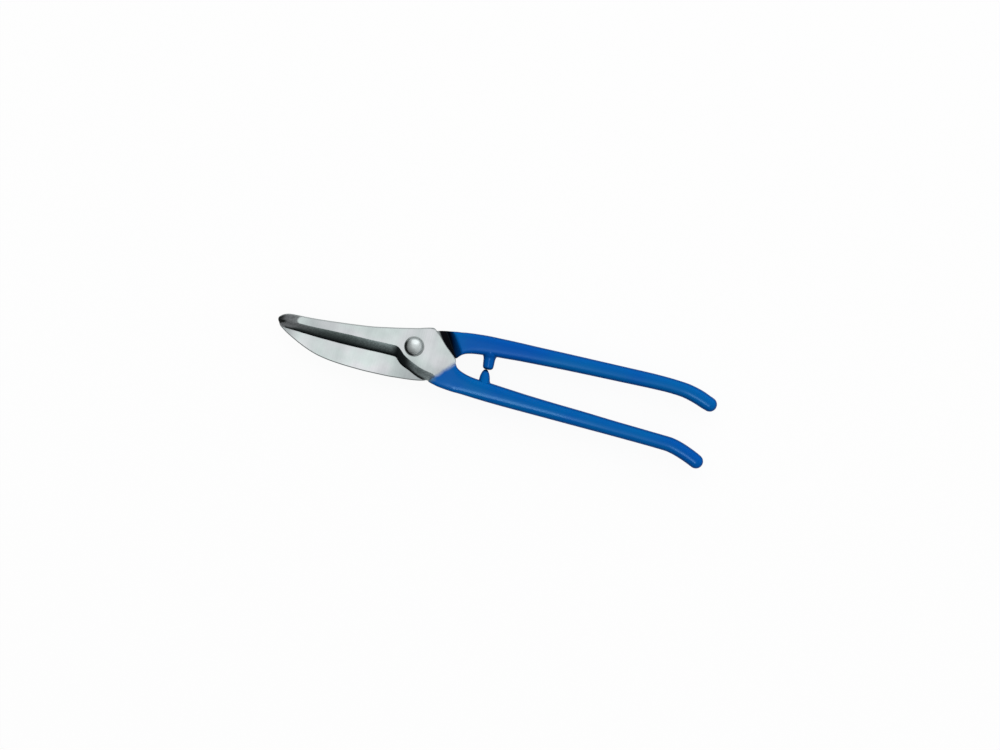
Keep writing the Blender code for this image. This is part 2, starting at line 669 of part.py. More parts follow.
def build_washers():
    points = (
        (LOOSE_BORE, SPRING_WASHER_TOP),
        (SPRING_WASHER_RADIUS, SPRING_WASHER_TOP - SPRING_WASHER_DISH),
        (SPRING_WASHER_RADIUS, SPRING_WASHER_BASE),
        (LOOSE_BORE, SPRING_WASHER_BASE + SPRING_WASHER_DISH),
    )
    outline = profile_mesh("spring_washer", points, True)
    washer = add_part("spring_washer", outline, fixed_half, "plated_steel")
    turn(washer)
    points = (
        (LOOSE_BORE, FLAT_WASHER_TOP),
        (FLAT_WASHER_RADIUS, FLAT_WASHER_TOP),
        (FLAT_WASHER_RADIUS, FLAT_WASHER_TOP - FLAT_WASHER_THICKNESS),
        (LOOSE_BORE, FLAT_WASHER_TOP - FLAT_WASHER_THICKNESS),
    )
    outline = profile_mesh("flat_washer", points, True)
    washer = add_part("flat_washer", outline, fixed_half, "plated_steel")
    turn(washer)


def build_nut():
    """Self-locking nut: a hexagon, and a round collar that traps a nylon ring."""
    ring_base = NUT_BASE + NUT_LIP + CONTACT_GAP
    ring_top = ring_base + LOCK_RING_HEIGHT
    hexagon_base = NUT_TOP - NUT_HEX_HEIGHT
    mesh = rod_mesh("pivot_nut", NUT_CORNER_RADIUS, hexagon_base, NUT_TOP, 6)
    nut = add_part("pivot_nut", mesh, fixed_half, "plated_steel")
    collar_mesh = rod_mesh("nut_collar", NUT_COLLAR_RADIUS, NUT_BASE, hexagon_base + NUT_HEX_HEIGHT / 2)
    combine(nut, "UNION", add_cutter("nut_collar", collar_mesh, fixed_half))
    points = (
        (0, NUT_TOP + OVERRUN),
        (LOOSE_BORE, NUT_TOP + OVERRUN),
        (LOOSE_BORE, ring_top + CONTACT_GAP),
        (LOCK_RING_RADIUS + CONTACT_GAP, ring_top + CONTACT_GAP),
        (LOCK_RING_RADIUS + CONTACT_GAP, ring_base - CONTACT_GAP),
        (LOCK_RING_RADIUS - CONTACT_GAP, ring_base - CONTACT_GAP),
        (LOCK_RING_RADIUS - CONTACT_GAP, NUT_BASE - OVERRUN),
        (0, NUT_BASE - OVERRUN),
    )
    bore = add_cutter("nut_bore", profile_mesh("nut_bore", points), fixed_half)
    turn(bore)
    combine(nut, "DIFFERENCE", bore)
    points = (
        (LOOSE_BORE, ring_top),
        (LOCK_RING_RADIUS, ring_top),
        (LOCK_RING_RADIUS, ring_base),
        (LOOSE_BORE, ring_base),
    )
    outline = profile_mesh("nut_lock_ring", points, True)
    ring = add_part("nut_lock_ring", outline, fixed_half, "white_nylon")
    turn(ring)


build_upper_blade_lever()
build_lower_blade_lever()
build_lower_handle_coating()
build_upper_handle_coating()
build_stops()
build_pivot_bolt()
build_washers()
build_nut()
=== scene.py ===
"""The looks of a pair of pelican-pattern tin snips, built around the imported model.

Metres, +X along the tool from the blades to the handles, +Z up along the pivot bolt.
"""
import json
import math

import bmesh
import bpy
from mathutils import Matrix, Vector


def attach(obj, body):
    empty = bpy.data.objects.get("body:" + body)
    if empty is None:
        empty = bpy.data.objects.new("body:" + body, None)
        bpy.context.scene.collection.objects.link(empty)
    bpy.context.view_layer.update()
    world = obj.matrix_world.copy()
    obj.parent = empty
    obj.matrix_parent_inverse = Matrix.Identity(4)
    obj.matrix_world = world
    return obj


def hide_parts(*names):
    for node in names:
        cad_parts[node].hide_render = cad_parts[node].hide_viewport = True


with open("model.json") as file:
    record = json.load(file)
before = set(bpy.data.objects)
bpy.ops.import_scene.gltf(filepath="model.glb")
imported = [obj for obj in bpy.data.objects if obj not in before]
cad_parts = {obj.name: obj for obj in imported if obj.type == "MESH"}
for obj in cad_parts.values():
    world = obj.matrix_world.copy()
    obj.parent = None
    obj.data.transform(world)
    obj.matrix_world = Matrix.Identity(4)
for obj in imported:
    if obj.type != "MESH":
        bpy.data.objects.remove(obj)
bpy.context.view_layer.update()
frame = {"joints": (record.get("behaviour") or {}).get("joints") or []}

# The camera looks straight down at the tool, which lies turned clockwise in its view. The width of
# the field and the point in its middle are the photograph's, measured on the tool itself.
MM = 0.001
pivot = Vector(frame["joints"][0]["pos_m"])
FIELD_WIDTH = 665 * MM
FIELD_CENTRE = Vector((59.8 * MM, -3.6 * MM, pivot.z))
TOOL_TURN = math.radians(15)
LENS, NEAR_CLIP = 100, 0.05
camera_data = bpy.data.cameras.new("photo_camera")
camera_data.lens = LENS
camera_data.clip_start = NEAR_CLIP
camera = bpy.data.objects.new("photo_camera", camera_data)
bpy.context.scene.collection.objects.link(camera)
camera_height = FIELD_WIDTH * LENS / camera_data.sensor_width
camera.location = FIELD_CENTRE + Vector((0, 0, camera_height))
camera.rotation_euler = (0, 0, TOOL_TURN)
bpy.context.scene.camera = camera
bpy.context.scene.view_settings.view_transform = "Standard"


# Upper blade lever: the narrow blade and the hub nearest the camera, one steel forging. Its flat
# side is ground bright, and the bevel by the cutting edge and the nose keep a dark forged skin,
# with painted shade over it, darkest along the edge, in the crook and at the point.
HALF_GAP = 0.15 * MM
EDGE_LAND = 0.4 * MM
LOOP = 0.14 * MM
BEVEL_SWELL, BEVEL_CUTS, ROUND_CUTS = 0.8, 14, 5
NOSE_LENGTH, NOSE_CUTS, CUT_SPACING = 9 * MM, 22, 0.6 * MM
GROUND, ROUNDED, WALL, CORNER, FORGED = 0, 0.3, 0.5, 0.6, 1
UPPER_BACK = (
    (-92.3, -5.0), (-91.9, -3.9), (-91.2, -3.2), (-90.0, -2.2), (-88.5, -1.4), (-86.0, -0.5),
    (-83.0, -0.1), (-79.5, 0.1), (-70.0, 0.7), (-60.0, 1.7), (-50.0, 2.9), (-40.0, 4.2),
    (-30.0, 5.7), (-20.0, 7.8), (-12.0, 9.6), (-5.0, 11.3), (0.0, 12.6), (5.0, 14.2), (8.0, 15.0),
    (9.3, 15.2), (10.5, 14.85), (12.0, 13.5), (14.0, 12.0), (16.0, 10.3), (20.0, 6.3), (25.0, 2.2),
    (28.0, -0.4), (29.0, -1.7), (29.3, -3.0),
)
UPPER_LAND = (
    (-92.3, -5.15), (-90.0, -5.3), (-86.0, -5.5), (-83.0, -5.3), (-79.5, -5.0), (-70.0, -4.9),
    (-60.0, -4.4), (-50.0, -3.9), (-40.0, -3.5), (-30.0, -3.3), (-20.0, -2.9), (-12.0, -2.6),
    (-10.0, -3.1), (-8.5, -4.1), (-7.0, -5.4), (-5.0, -7.2), (0.0, -9.8), (5.0, -11.9),
    (8.0, -12.9), (10.0, -13.4), (13.0, -13.9), (16.0, -14.4), (18.0, -15.3), (20.0, -16.9),
    (25.0, -20.3), (29.3, -21.1),
)
UPPER_EDGE = (
    (-92.3, -5.4), (-91.9, -6.6), (-91.2, -7.6), (-90.0, -9.0), (-88.5, -9.9), (-86.0, -10.1),
    (-83.0, -10.2), (-79.5, -10.3), (-70.0, -10.6), (-60.0, -10.8), (-50.0, -10.8), (-40.0, -10.6),
    (-30.0, -10.3), (-20.0, -9.9), (-12.0, -9.8), (-10.0, -10.2), (-8.5, -11.6), (-7.0, -13.0),
    (-5.0, -14.3), (0.0, -16.2), (5.0, -18.4), (8.0, -19.4), (10.5, -19.9), (12.0, -19.9),
    (14.0, -19.6), (16.0, -20.4), (20.0, -21.4), (25.0, -22.1), (29.3, -22.4),
)
UPPER_THICKNESS = (
    (-92.3, 0.8), (-91.9, 1.4), (-91.2, 1.9), (-90.0, 2.6), (-88.5, 3.3), (-86.0, 4.2),
    (-83.0, 5.1), (-80.5, 5.75), (-79.3, 5.95), (-76.0, 6.0), (29.3, 6.0),
)


def smooth_line(points, origin):
    """Height of a smooth line through points in mm, with an upright start at the origin.

    The line never overshoots its points, so straight stretches stay straight."""
    places = [math.sqrt(max(x * MM - origin, 0)) for x, y in points]
    heights = [y * MM for x, y in points]
    rises = [
        (heights[i + 1] - heights[i]) / (places[i + 1] - places[i]) for i in range(len(points) - 1)
    ]
    slopes = [rises[0]]
    for before, after in zip(rises, rises[1:]):
        slopes.append(2 * before * after / (before + after) if before * after > 0 else 0)
    slopes.append(rises[-1])

    def height(x):
        place = math.sqrt(max(x - origin, 0))
        i = max(0, min(len(rises) - 1, sum(place > p for p in places) - 1))
        width = places[i + 1] - places[i]
        t = min(1, max(0, (place - places[i]) / width))
        ease = t * t * (3 - 2 * t)
        bend = width * (slopes[i] * t * (1 - t) ** 2 - slopes[i + 1] * t * t * (1 - t))
        return heights[i] + (heights[i + 1] - heights[i]) * ease + bend

    return height


def blade_ring(x, back, land, edge, thickness, side, round_out, round_in):
    """One cut across a lever: points, and how forged and how deep in the bevel each one is.

    It starts at the cutting edge, climbs the bevel to the land, crosses the outer face to the back,
    and returns along the inner face, which slides on the other lever."""
    out = math.copysign(1, back - edge)
    land_height = min(EDGE_LAND, thickness / 4)
    room = abs(back - land)
    outer = min(round_out, thickness / 3, room / 3)
    inner = min(round_in, thickness / 4, room / 4)
    loop = min(LOOP, room / 8)
    ring = [(edge, 0, CORNER, 1), (edge, land_height, FORGED, 1)]
    for step in range(1, BEVEL_CUTS):
        share = step / BEVEL_CUTS
        rise = share + BEVEL_SWELL * share * (1 - share)
        level = land_height + (thickness - land_height) * rise
        ring.append((edge + (land - edge) * share, level, FORGED, 1 - share))
    ring.append((land, thickness, FORGED, 0))
    ring.append((land + loop * out, thickness, GROUND, 0))
    ring.append((land + 2 * loop * out, thickness, GROUND, 0))
    start, end = land + 2 * loop * out, back - (outer + loop) * out
    for share in (0.25, 0.5, 0.75, 1):
        ring.append((start + (end - start) * share, thickness, GROUND, 0))
    for step in range(ROUND_CUTS + 1):
        angle = math.pi / 2 * step / ROUND_CUTS
        y = back - outer * out * (1 - math.sin(angle))
        ring.append((y, thickness - outer * (1 - math.cos(angle)), ROUNDED, 0))
    ring.append((back, thickness - outer - loop, WALL, 0))
    ring.append((back, inner + loop, WALL, 0))
    for step in range(ROUND_CUTS + 1):
        angle = math.pi / 2 * step / ROUND_CUTS
        y = back - inner * out * (1 - math.cos(angle))
        ring.append((y, inner * (1 - math.sin(angle)), ROUNDED, 0))
    start, end = back - (inner + loop) * out, edge + loop * out
    for share in (0, 0.25, 0.5, 0.75, 1):
        ring.append((start + (end - start) * share, 0, GROUND, 0))
    points = [Vector((x, y, pivot.z + side * (HALF_GAP + level))) for y, level, f, d in ring]
    return points, [row[2] for row in ring], [row[3] for row in ring]


def loft(name, rings, forged=None, depth=None):
    """Closed skin over rings of equal count, with a flat face over each end."""
    work = bmesh.new()
    rows = [[work.verts.new(point) for point in ring] for ring in rings]
    for start, end in zip(rows, rows[1:]):
        for i, point in enumerate(start):
            work.faces.new((point, start[i - 1], end[i - 1], end[i]))
    work.faces.new(rows[0])
    work.faces.new(rows[-1])
    bmesh.ops.recalc_face_normals(work, faces=work.faces)
    mesh = bpy.data.meshes.new(name)
    work.to_mesh(mesh)
    work.free()
    for title, values in (("forged", forged), ("depth", depth)):
        if values:
            layer = mesh.attributes.new(title, "FLOAT", "POINT")
            layer.data.foreach_set("value", [value for row in values for value in row])
    piece = bpy.data.objects.new(name, mesh)
    bpy.context.scene.collection.objects.link(piece)
    return piece


def lever_stations(start, end):
    """Places of the cuts along a lever: close together at its nose, then evenly apart."""
    places = [start + NOSE_LENGTH * (step / NOSE_CUTS) ** 2 for step in range(NOSE_CUTS)]
    start += NOSE_LENGTH
    count = round((end - start) / CUT_SPACING)
    return places + [start + (end - start) * step / count for step in range(count + 1)]


def lever_plate(name, back, land, edge, thickness, side, round_out, round_in):
    """A lever's flat part, from its nose to a little inside the coated handle."""
    lines = [smooth_line(points, back[0][0] * MM) for points in (back, land, edge, thickness)]
    cuts = []
    for x in lever_stations(back[0][0] * MM, back[-1][0] * MM):
        sizes = [line(x) for line in lines]
        cuts.append(blade_ring(x, *sizes, side, round_out, round_in))
    return loft(name, *zip(*cuts))


def bake(piece):
    """Makes a plain mesh of a piece and its modifiers."""
    bpy.context.view_layer.update()
    graph = bpy.context.evaluated_depsgraph_get()
    old, piece.data = piece.data, bpy.data.meshes.new_from_object(piece.evaluated_get(graph))
    piece.data.name = piece.name
    piece.modifiers.clear()
    bpy.data.meshes.remove(old)


def carve(piece, operation, tool):
    """Joins or cuts a piece with another one, which is then removed."""
    modifier = piece.modifiers.new(tool.name, "BOOLEAN")
    modifier.operation = operation
    modifier.solver = "EXACT"
    modifier.object = tool
    bake(piece)
    bpy.data.objects.remove(tool, do_unlink=True)


def smooth(piece, angle=30):
    """Shades a piece smooth, apart from edges that turn by more than an angle in degrees."""
    piece.data.shade_smooth()
    piece.data.set_sharp_from_angle(angle=math.radians(angle))


def trim(piece, angle, distance, keep=-1, hollow=False):
    """Cuts a piece square to a direction out of the pivot, and closes the cut round any hollow.

    It keeps the side next to the pivot, or with keep=1 the side away from it."""
    away = Vector((math.cos(angle), math.sin(angle), 0))
    work = bmesh.new()
    work.from_mesh(piece.data)
    every = work.verts[:] + work.edges[:] + work.faces[:]
    made = bmesh.ops.bisect_plane(
        work, geom=every, plane_co=away * distance, plane_no=-away * keep, clear_outer=True
    )
    rim = [item for item in made["geom_cut"] if isinstance(item, bmesh.types.BMEdge)]
    if hollow:
        bmesh.ops.bridge_loops(work, edges=rim)
    else:
        bmesh.ops.contextual_create(work, geom=rim)
    bmesh.ops.recalc_face_normals(work, faces=work.faces)
    work.to_mesh(piece.data)
    work.free()


class Wire:
    """A value in a node tree. Operators on it add Math nodes, and node() adds any other node."""

    def __init__(self, tree, socket=None):
        self.tree, self.socket = tree, socket

    def node(self, kind, settings, values, output=0):
        made = self.tree.nodes.new(kind)
        for name, value in settings.items():
            setattr(made, name, value)
        for name, value in values.items():
            if isinstance(value, Wire):
                self.tree.links.new(value.socket, made.inputs[name])
            else:
                made.inputs[name].default_value = value
        return Wire(self.tree, made.outputs[output] if made.outputs else None)

    def math(self, operation, *values):
        return self.node("ShaderNodeMath", {"operation": operation}, dict(enumerate(values)))

    def __add__(self, other):
        return self.math("ADD", self, other)

    def __sub__(self, other):
        return self.math("SUBTRACT", self, other)

    def __rsub__(self, other):
        return self.math("SUBTRACT", other, self)

    def __mul__(self, other):
        return self.math("MULTIPLY", self, other)

    def __truediv__(self, other):
        return self.math("DIVIDE", self, other)

    def __rtruediv__(self, other):
        return self.math("DIVIDE", other, self)

    def __pow__(self, other):
        return self.math("POWER", self, other)

    __radd__, __rmul__ = __add__, __mul__

    def step(self, low, high, start=0.0, end=1.0):
        """A smooth change from start to end as the value goes from low to high."""
        values = {"Value": self, "From Min": low, "From Max": high, "To Min": start, "To Max": end}
        return self.node("ShaderNodeMapRange", {"interpolation_type": "SMOOTHSTEP"}, values)

    def mix(self, first, second):
        """A colour between two others, by this value."""
        return self.node("ShaderNodeMix", {"data_type": "RGBA"}, {0: self, 6: first, 7: second}, 2)

    def noise(self, scale, detail=2.0, stretch=(1, 1, 1), place=(0, 0, 0)):
        """Noise on the object's own coordinates, with a scale in features per metre."""
        spot = self.node("ShaderNodeTexCoord", {}, {}, 3)
        values = {"Vector": spot, "Scale": stretch, "Location": place}
        spot = self.node("ShaderNodeMapping", {}, values)
        values = {"Vector": spot, "Scale": scale, "Detail": detail}
        return self.node("ShaderNodeTexNoise", {}, values)

    def coordinate(self, axis):
        spot = self.node("ShaderNodeTexCoord", {}, {}, 3)
        return self.node("ShaderNodeSeparateXYZ", {}, {"Vector": spot}, axis)

    def attribute(self, name):
        return self.node("ShaderNodeAttribute", {"attribute_name": name}, {}, 2)


def new_finish(name):
    """An empty material, and the wire that its nodes are added to."""
    material = bpy.data.materials.new(name)
    material.use_nodes = True
    material.node_tree.nodes.clear()
    return material, Wire(material.node_tree)


GROUND_DULL = (0.34, 0.375, 0.38, 1)
GROUND_GREEN = (0.69, 0.78, 0.76, 1)
GROUND_ROSE = (0.76, 0.765, 0.79, 1)
# A painted shade colour for the rounded edges of the levers.
ROUNDED_EDGE_SHADE = (0.27, 0.295, 0.295, 1)
FORGED_WALL = (0.13, 0.148, 0.145, 1)
# Near black for spots of forging scale, and for painted shade along the cutting edges.
SCALE_AND_SHADE_DARK = (0.002, 0.004, 0.005, 1)


def along(wire, angle):
    """Distance out of the pivot in one direction."""
    return wire.coordinate(0) * math.cos(angle) + wire.coordinate(1) * math.sin(angle)


def lever_steel(name, tone, skin_and_shade_colour, nose, end, end_colour):
    """Ground faces with fine lines, a dark forged skin with painted shade, and a coloured end.

    The rounded edges are painted darker as shade. The end is thin blue paint on the upper lever and
    painted shade on the lower one. The tone, the skin's colour, the nose and the end come from
    functions of the node tree."""
    material, w = new_finish(name)
    forged, scale = w.attribute("forged"), w.noise(900, 4)
    bands, blotch = w.noise(70, 1, (1, 0.25, 1)), w.noise(110, 3)
    lines = w.noise(60, 3, (55, 1.2, 12))
    ground = tone(w) + (bands - 0.5) * 0.7 + (blotch - 0.5) * 0.45 + (lines - 0.5) * 0.35
    bright = w.noise(45, 2).step(0.38, 0.62).mix(GROUND_GREEN, GROUND_ROSE)
    # Painted shade: the rounded edges are coloured darker than the ground faces.
    edge_shade = forged.step(0.1, 0.28) * forged.step(0.34, 0.46, 1, 0)
    wall = forged.step(0.36, 0.48) * forged.step(0.55, 0.75, 1, 0)
    skin = w.math("MAXIMUM", forged.step(0.7, 1.0), nose(w))
    colour = skin.mix(ground.mix(GROUND_DULL, bright), skin_and_shade_colour(w, scale))
    colour = wall.mix(edge_shade.mix(colour, ROUNDED_EDGE_SHADE), FORGED_WALL)
    skin = w.math("MAXIMUM", skin, wall)
    colour = (scale.step(0.38, 0.62) * skin * 0.28).mix(colour, SCALE_AND_SHADE_DARK)
    # The end is thin blue paint on the upper lever and painted shade on the lower one.
    paint_and_shade_end = end(w)
    height = lines * 0.35 * (1 - skin) + scale * skin * 1.6
    values = {"Strength": 0.25, "Distance": 0.02 * MM, "Height": height}
    normal = w.node("ShaderNodeBump", {}, values)
    values = {
        "Base Color": paint_and_shade_end.mix(colour, end_colour),
        "Metallic": (1 - skin * 0.35) * (1 - paint_and_shade_end),
        "Roughness": 0.27 + lines * 0.1 + skin * 0.14,
        "Specular IOR Level": 0.04,
        "Normal": normal,
    }
    shader = w.node("ShaderNodeBsdfPrincipled", {}, values)
    w.node("ShaderNodeOutputMaterial", {}, {"Surface": shader})
    return material


# Colours of the bevel's dark skin. The lit copies are painted light towards the hub and heel, and
# the nose shade is painted shade at the point.
BEVEL_SKIN = (0.155, 0.193, 0.188, 1)
BEVEL_SKIN_LIT = (0.325, 0.40, 0.40, 1)
HUB_SKIN = (0.195, 0.235, 0.238, 1)
HEEL_SKIN_LIT = (0.275, 0.325, 0.33, 1)
FORGED_NOSE = (0.225, 0.238, 0.245, 1)
NOSE_SHADE = (0.022, 0.025, 0.024, 1)


def upper_skin_and_shade(w, scale):
    """Dark scale on the bevel with painted shade: black along the edge, in the crook, under the hub
    and at the point, with painted light by the hub and a paler skin on the nose.
    """
    x, y, depth = w.coordinate(0), w.coordinate(1), w.attribute("depth")
    # Painted light: the land is painted lighter towards the hub. Painted shade: the bevel darkens
    # to near black at the cutting edge.
    land = x.step(-48 * MM, -20 * MM).mix(BEVEL_SKIN, BEVEL_SKIN_LIT)
    bevel = (depth + (scale - 0.5) * 0.10) * 1.15
    bevel = w.math("MINIMUM", bevel, 1).mix(land, SCALE_AND_SHADE_DARK)
    # Painted shade: the crook, where the bevel turns away from the light, is painted near black.
    crook = x.step(-15 * MM, -10 * MM) * x.step(-4 * MM, 4 * MM, 1, 0)
    bevel = (crook * 0.93).mix(bevel, SCALE_AND_SHADE_DARK)
    # Painted light on the heel, and a painted contact shadow in a black line under the hub.
    hub = x.step(7 * MM, 15 * MM).mix(HUB_SKIN, HEEL_SKIN_LIT)
    line = (depth + (scale - 0.5) * 0.08).step(0.66, 0.84) * x.step(10 * MM, 14 * MM, 1, 0)
    hub = line.mix(hub, SCALE_AND_SHADE_DARK)
    bevel = x.step(-1 * MM, 10 * MM).mix(bevel, hub)
    # A painted shadow over the nose, darkest in a wedge across it and at the point.
    wander = (scale - 0.5) * 1.2 * MM
    wedge = w.math("ABSOLUTE", y - x * 0.25 - 16.0 * MM + wander)
    wedge = (wedge + x.step(-92 * MM, -86 * MM, -1 * MM, 0)).step(0.2 * MM, 1.3 * MM, 1, 0)
    shadow = wedge * x.step(-88 * MM, -84.5 * MM, 1, 0)
    x_rough, y_rough = x + wander, y + wander
    dusk = x_rough.step(-90.8 * MM, -85.8 * MM, 0.97, 0) * y_rough.step(-7.4 * MM, -6.4 * MM)
    shadow = w.math("MAXIMUM", shadow, dusk)
    shadow = w.math("MAXIMUM", shadow, x_rough.step(-92.2 * MM, -90.6 * MM, 1, 0))
    fade = depth - x.step(-86 * MM, -74 * MM, 0.95, 0.62)
    at_nose = x.step(-86 * MM, -60 * MM, 1, 0) * fade.step(-0.34, 0.05, 1, 0)
    at_nose = w.math("MAXIMUM", at_nose, x.step(-87.5 * MM, -85.5 * MM, 1, 0))
    return at_nose.mix(bevel, shadow.mix(FORGED_NOSE, NOSE_SHADE))


def upper_nose(w):
    """The skin left on the nose: the ground flat stops before it in a round end."""
    side = w.coordinate(1) / MM + 3.2
    reach = w.coordinate(0) / MM + side * 0.2 - side * side * 0.3 + (w.noise(300, 2) - 0.5) * 1.2
    return reach.step(-80.3, -78.4, 1, 0)


LOWER_COAT_ANGLE, LOWER_COAT_START = math.radians(-41.7), 24.3 * MM
PAINT_FADE = 2.0 * MM
PAINT_BLUE = (0.0, 0.095, 0.38, 1)


def upper_tone(w):
    """The flat is brighter from the nose to the hub, and duller along the hub's lower edge."""
    x = w.coordinate(0)
    tone = x.step(-85 * MM, -35 * MM, 0.30, 0.62) + x.step(-77 * MM, -70 * MM, 0.08, 0)
    return tone - w.coordinate(1).step(-14 * MM, -6 * MM, 0.25, 0)


def upper_end(w):
    """Blue that is worn thin over the end of the flat and of the bevel."""
    reach = along(w, LOWER_COAT_ANGLE) + (w.noise(220, 3) - 0.5) * 2.4 * MM
    reach = reach - w.coordinate(1).step(-19 * MM, -16 * MM, 1, 0) * 1.1 * MM
    return reach.step(LOWER_COAT_START - PAINT_FADE, LOWER_COAT_START + PAINT_FADE)


HANDLE_ORIGIN = -40 * MM
HANDLE_THICKNESS = (
    (10, 12.3), (30, 12.1), (40, 11.7), (60, 11.0), (100, 10.3), (140, 9.8), (204, 9.4),
)
HANDLE_SQUARENESS = (
    (10, 6.0), (30, 6.0), (40, 4.0), (60, 3.0), (100, 2.5), (140, 2.4), (204, 2.3),
)
HANDLE_SPACINGS = (34, 0.35), (60, 0.8), (175, 2.5), (210, 1.0)
HANDLE_SIDES, END_CUTS = 72, 14
LOWER_HANDLE = (
    (12.0, -4.5, 10.0, 0), (14.4, -4.0, 15.8, 0), (16.0, -3.9, 16.7, 0), (20.0, -3.9, 17.6, 0),
    (25.0, -3.2, 19.0, 0), (28.0, -3.3, 19.15, 0), (29.1, -3.5, 19.0, 0), (29.5, -4.0, 18.55, 0),
    (30.2, -5.1, 17.5, 0), (31.0, -6.1, 16.55, 0), (33.0, -7.4, 15.3, 0), (35.0, -8.2, 14.5, 0),
    (40.0, -9.5, 13.3, 0), (45.0, -10.1, 12.9, 0), (54.0, -10.4, 12.9, 0), (60.0, -10.7, 12.7, 0),
    (70.0, -11.2, 12.3, 0), (80.0, -11.7, 11.8, 0), (100.0, -12.3, 11.2, 0),
    (120.0, -12.7, 10.8, 0), (140.0, -13.3, 10.2, 0), (160.0, -13.7, 9.9, 0),
    (170.0, -13.9, 9.8, -2), (180.0, -14.1, 9.9, -6), (185.0, -14.8, 10.0, -12),
    (190.0, -16.1, 10.0, -20), (195.0, -17.8, 9.9, -22), (200.0, -19.8, 9.8, -24),
    (203.2, -21.3, 9.6, -25),
)


def sweep_tree():
    """Geometry Nodes that put a skin of round cuts over points, by the sizes kept at the points."""
    tree = bpy.data.node_groups.new("handle_sweep", "GeometryNodeTree")
    for title, kind in (("Middle", "Geometry"), ("Sides", "Int"), ("Material", "Material")):
        tree.interface.new_socket(title, in_out="INPUT", socket_type="NodeSocket" + kind)
    tree.interface.new_socket("Skin", in_out="OUTPUT", socket_type="NodeSocketGeometry")
    w = Wire(tree)
    middle, sides, material = (w.node("NodeGroupInput", {}, {}, place) for place in range(3))
    cuts = w.node("GeometryNodeAttributeDomainSize", {}, {"Geometry": middle})
    skin = w.node("GeometryNodeMeshGrid", {}, {"Vertices X": cuts, "Vertices Y": sides + 1})
    index = w.node("GeometryNodeInputIndex", {}, {})
    cut = w.math("FLOOR", (index + 0.5) / (sides + 1))
    angle = (index - cut * (sides + 1)) / sides * -math.tau

    def at_cut(name):
        value = w.node("GeometryNodeInputNamedAttribute", {"data_type": "FLOAT"}, {"Name": name})
        values = {"Geometry": middle, "Value": value, "Index": cut}
        return w.node("GeometryNodeSampleIndex", {"data_type": "FLOAT"}, values)

    place = w.node("GeometryNodeInputPosition", {}, {})
    values = {"Geometry": middle, "Value": place, "Index": cut}
    place = w.node("GeometryNodeSampleIndex", {"data_type": "FLOAT_VECTOR"}, values)
    across, up = w.math("COSINE", angle), w.math("SINE", angle)
    power = at_cut("squareness")
    reach = (w.math("ABSOLUTE", across) ** power + w.math("ABSOLUTE", up) ** power) ** (-1 / power)
    across, up = across * reach * at_cut("half_width"), up * reach * at_cut("half_thickness")
    lean = at_cut("lean")
    offset = {0: w.math("SINE", lean) * across * -1, 1: w.math("COSINE", lean) * across, 2: up}
    offset = w.node("ShaderNodeCombineXYZ", {}, offset)
    place = w.node("ShaderNodeVectorMath", {}, {0: place, 1: offset})
    skin = w.node("GeometryNodeSetPosition", {}, {"Geometry": skin, "Position": place})
    skin = w.node("GeometryNodeMergeByDistance", {}, {"Geometry": skin, "Distance": 0.001 * MM})
    skin = w.node("GeometryNodeRealizeInstances", {}, {"Geometry": skin})
    skin = w.node("GeometryNodeSetMaterial", {}, {"Geometry": skin, "Material": material})
    w.node("NodeGroupOutput", {}, {"Skin": skin})
    return tree


HANDLE_SWEEP = sweep_tree()


def swept(name, table, outward, inset=0.0, material=None):
    """A handle from its root to its round end, or the core of one that lies an inset below it."""
    inner_edge, width, lean = (
        smooth_line([(row[0], row[column]) for row in table], HANDLE_ORIGIN) for column in (1, 2, 3)
    )
    thickness = smooth_line(HANDLE_THICKNESS, HANDLE_ORIGIN)
    squareness = smooth_line(HANDLE_SQUARENESS, HANDLE_ORIGIN)
    cuts = []
    x, end = table[0][0] * MM, table[-1][0] * MM
    while x < end:
        turn = math.radians(lean(x) / MM)
        across = Vector((-math.sin(turn), math.cos(turn), 0))
        place = Vector((x, inner_edge(x), pivot.z)) + across * outward * width(x) / 2
        sizes = width(x) / 2 - inset, thickness(x) / 2 - inset
        cuts.append((place, *sizes, squareness(x) / MM, turn))
        x += next(gap for limit, gap in HANDLE_SPACINGS if x < limit * MM) * MM
    place, half_width, half_thickness, power, turn = cuts[-1]
    ahead = Vector((math.cos(turn), math.sin(turn), 0)) * half_width
    for step in range(1, END_CUTS + 1):
        angle = math.pi / 2 * step / END_CUTS
        sizes = half_width * math.cos(angle), half_thickness * math.cos(angle)
        cuts.append((place + ahead * math.sin(angle), *sizes, power, turn))
    mesh = bpy.data.meshes.new(name)
    mesh.from_pydata([cut[0] for cut in cuts], [], [])
    for column, title in enumerate(("half_width", "half_thickness", "squareness", "lean"), 1):
        layer = mesh.attributes.new(title, "FLOAT", "POINT")
        layer.data.foreach_set("value", [cut[column] for cut in cuts])
    piece = bpy.data.objects.new(name, mesh)
    bpy.context.scene.collection.objects.link(piece)
    modifier = piece.modifiers.new("sweep", "NODES")
    modifier.node_group = HANDLE_SWEEP
    for title, value in (("Sides", HANDLE_SIDES), ("Material", material)):
        modifier[HANDLE_SWEEP.interface.items_tree[title].identifier] = value
    bake(piece)
    return piece


SWELL_REACH, SWELL_BEND = 7.4 * MM, 1.2 * MM
MERGE = 0.02 * MM


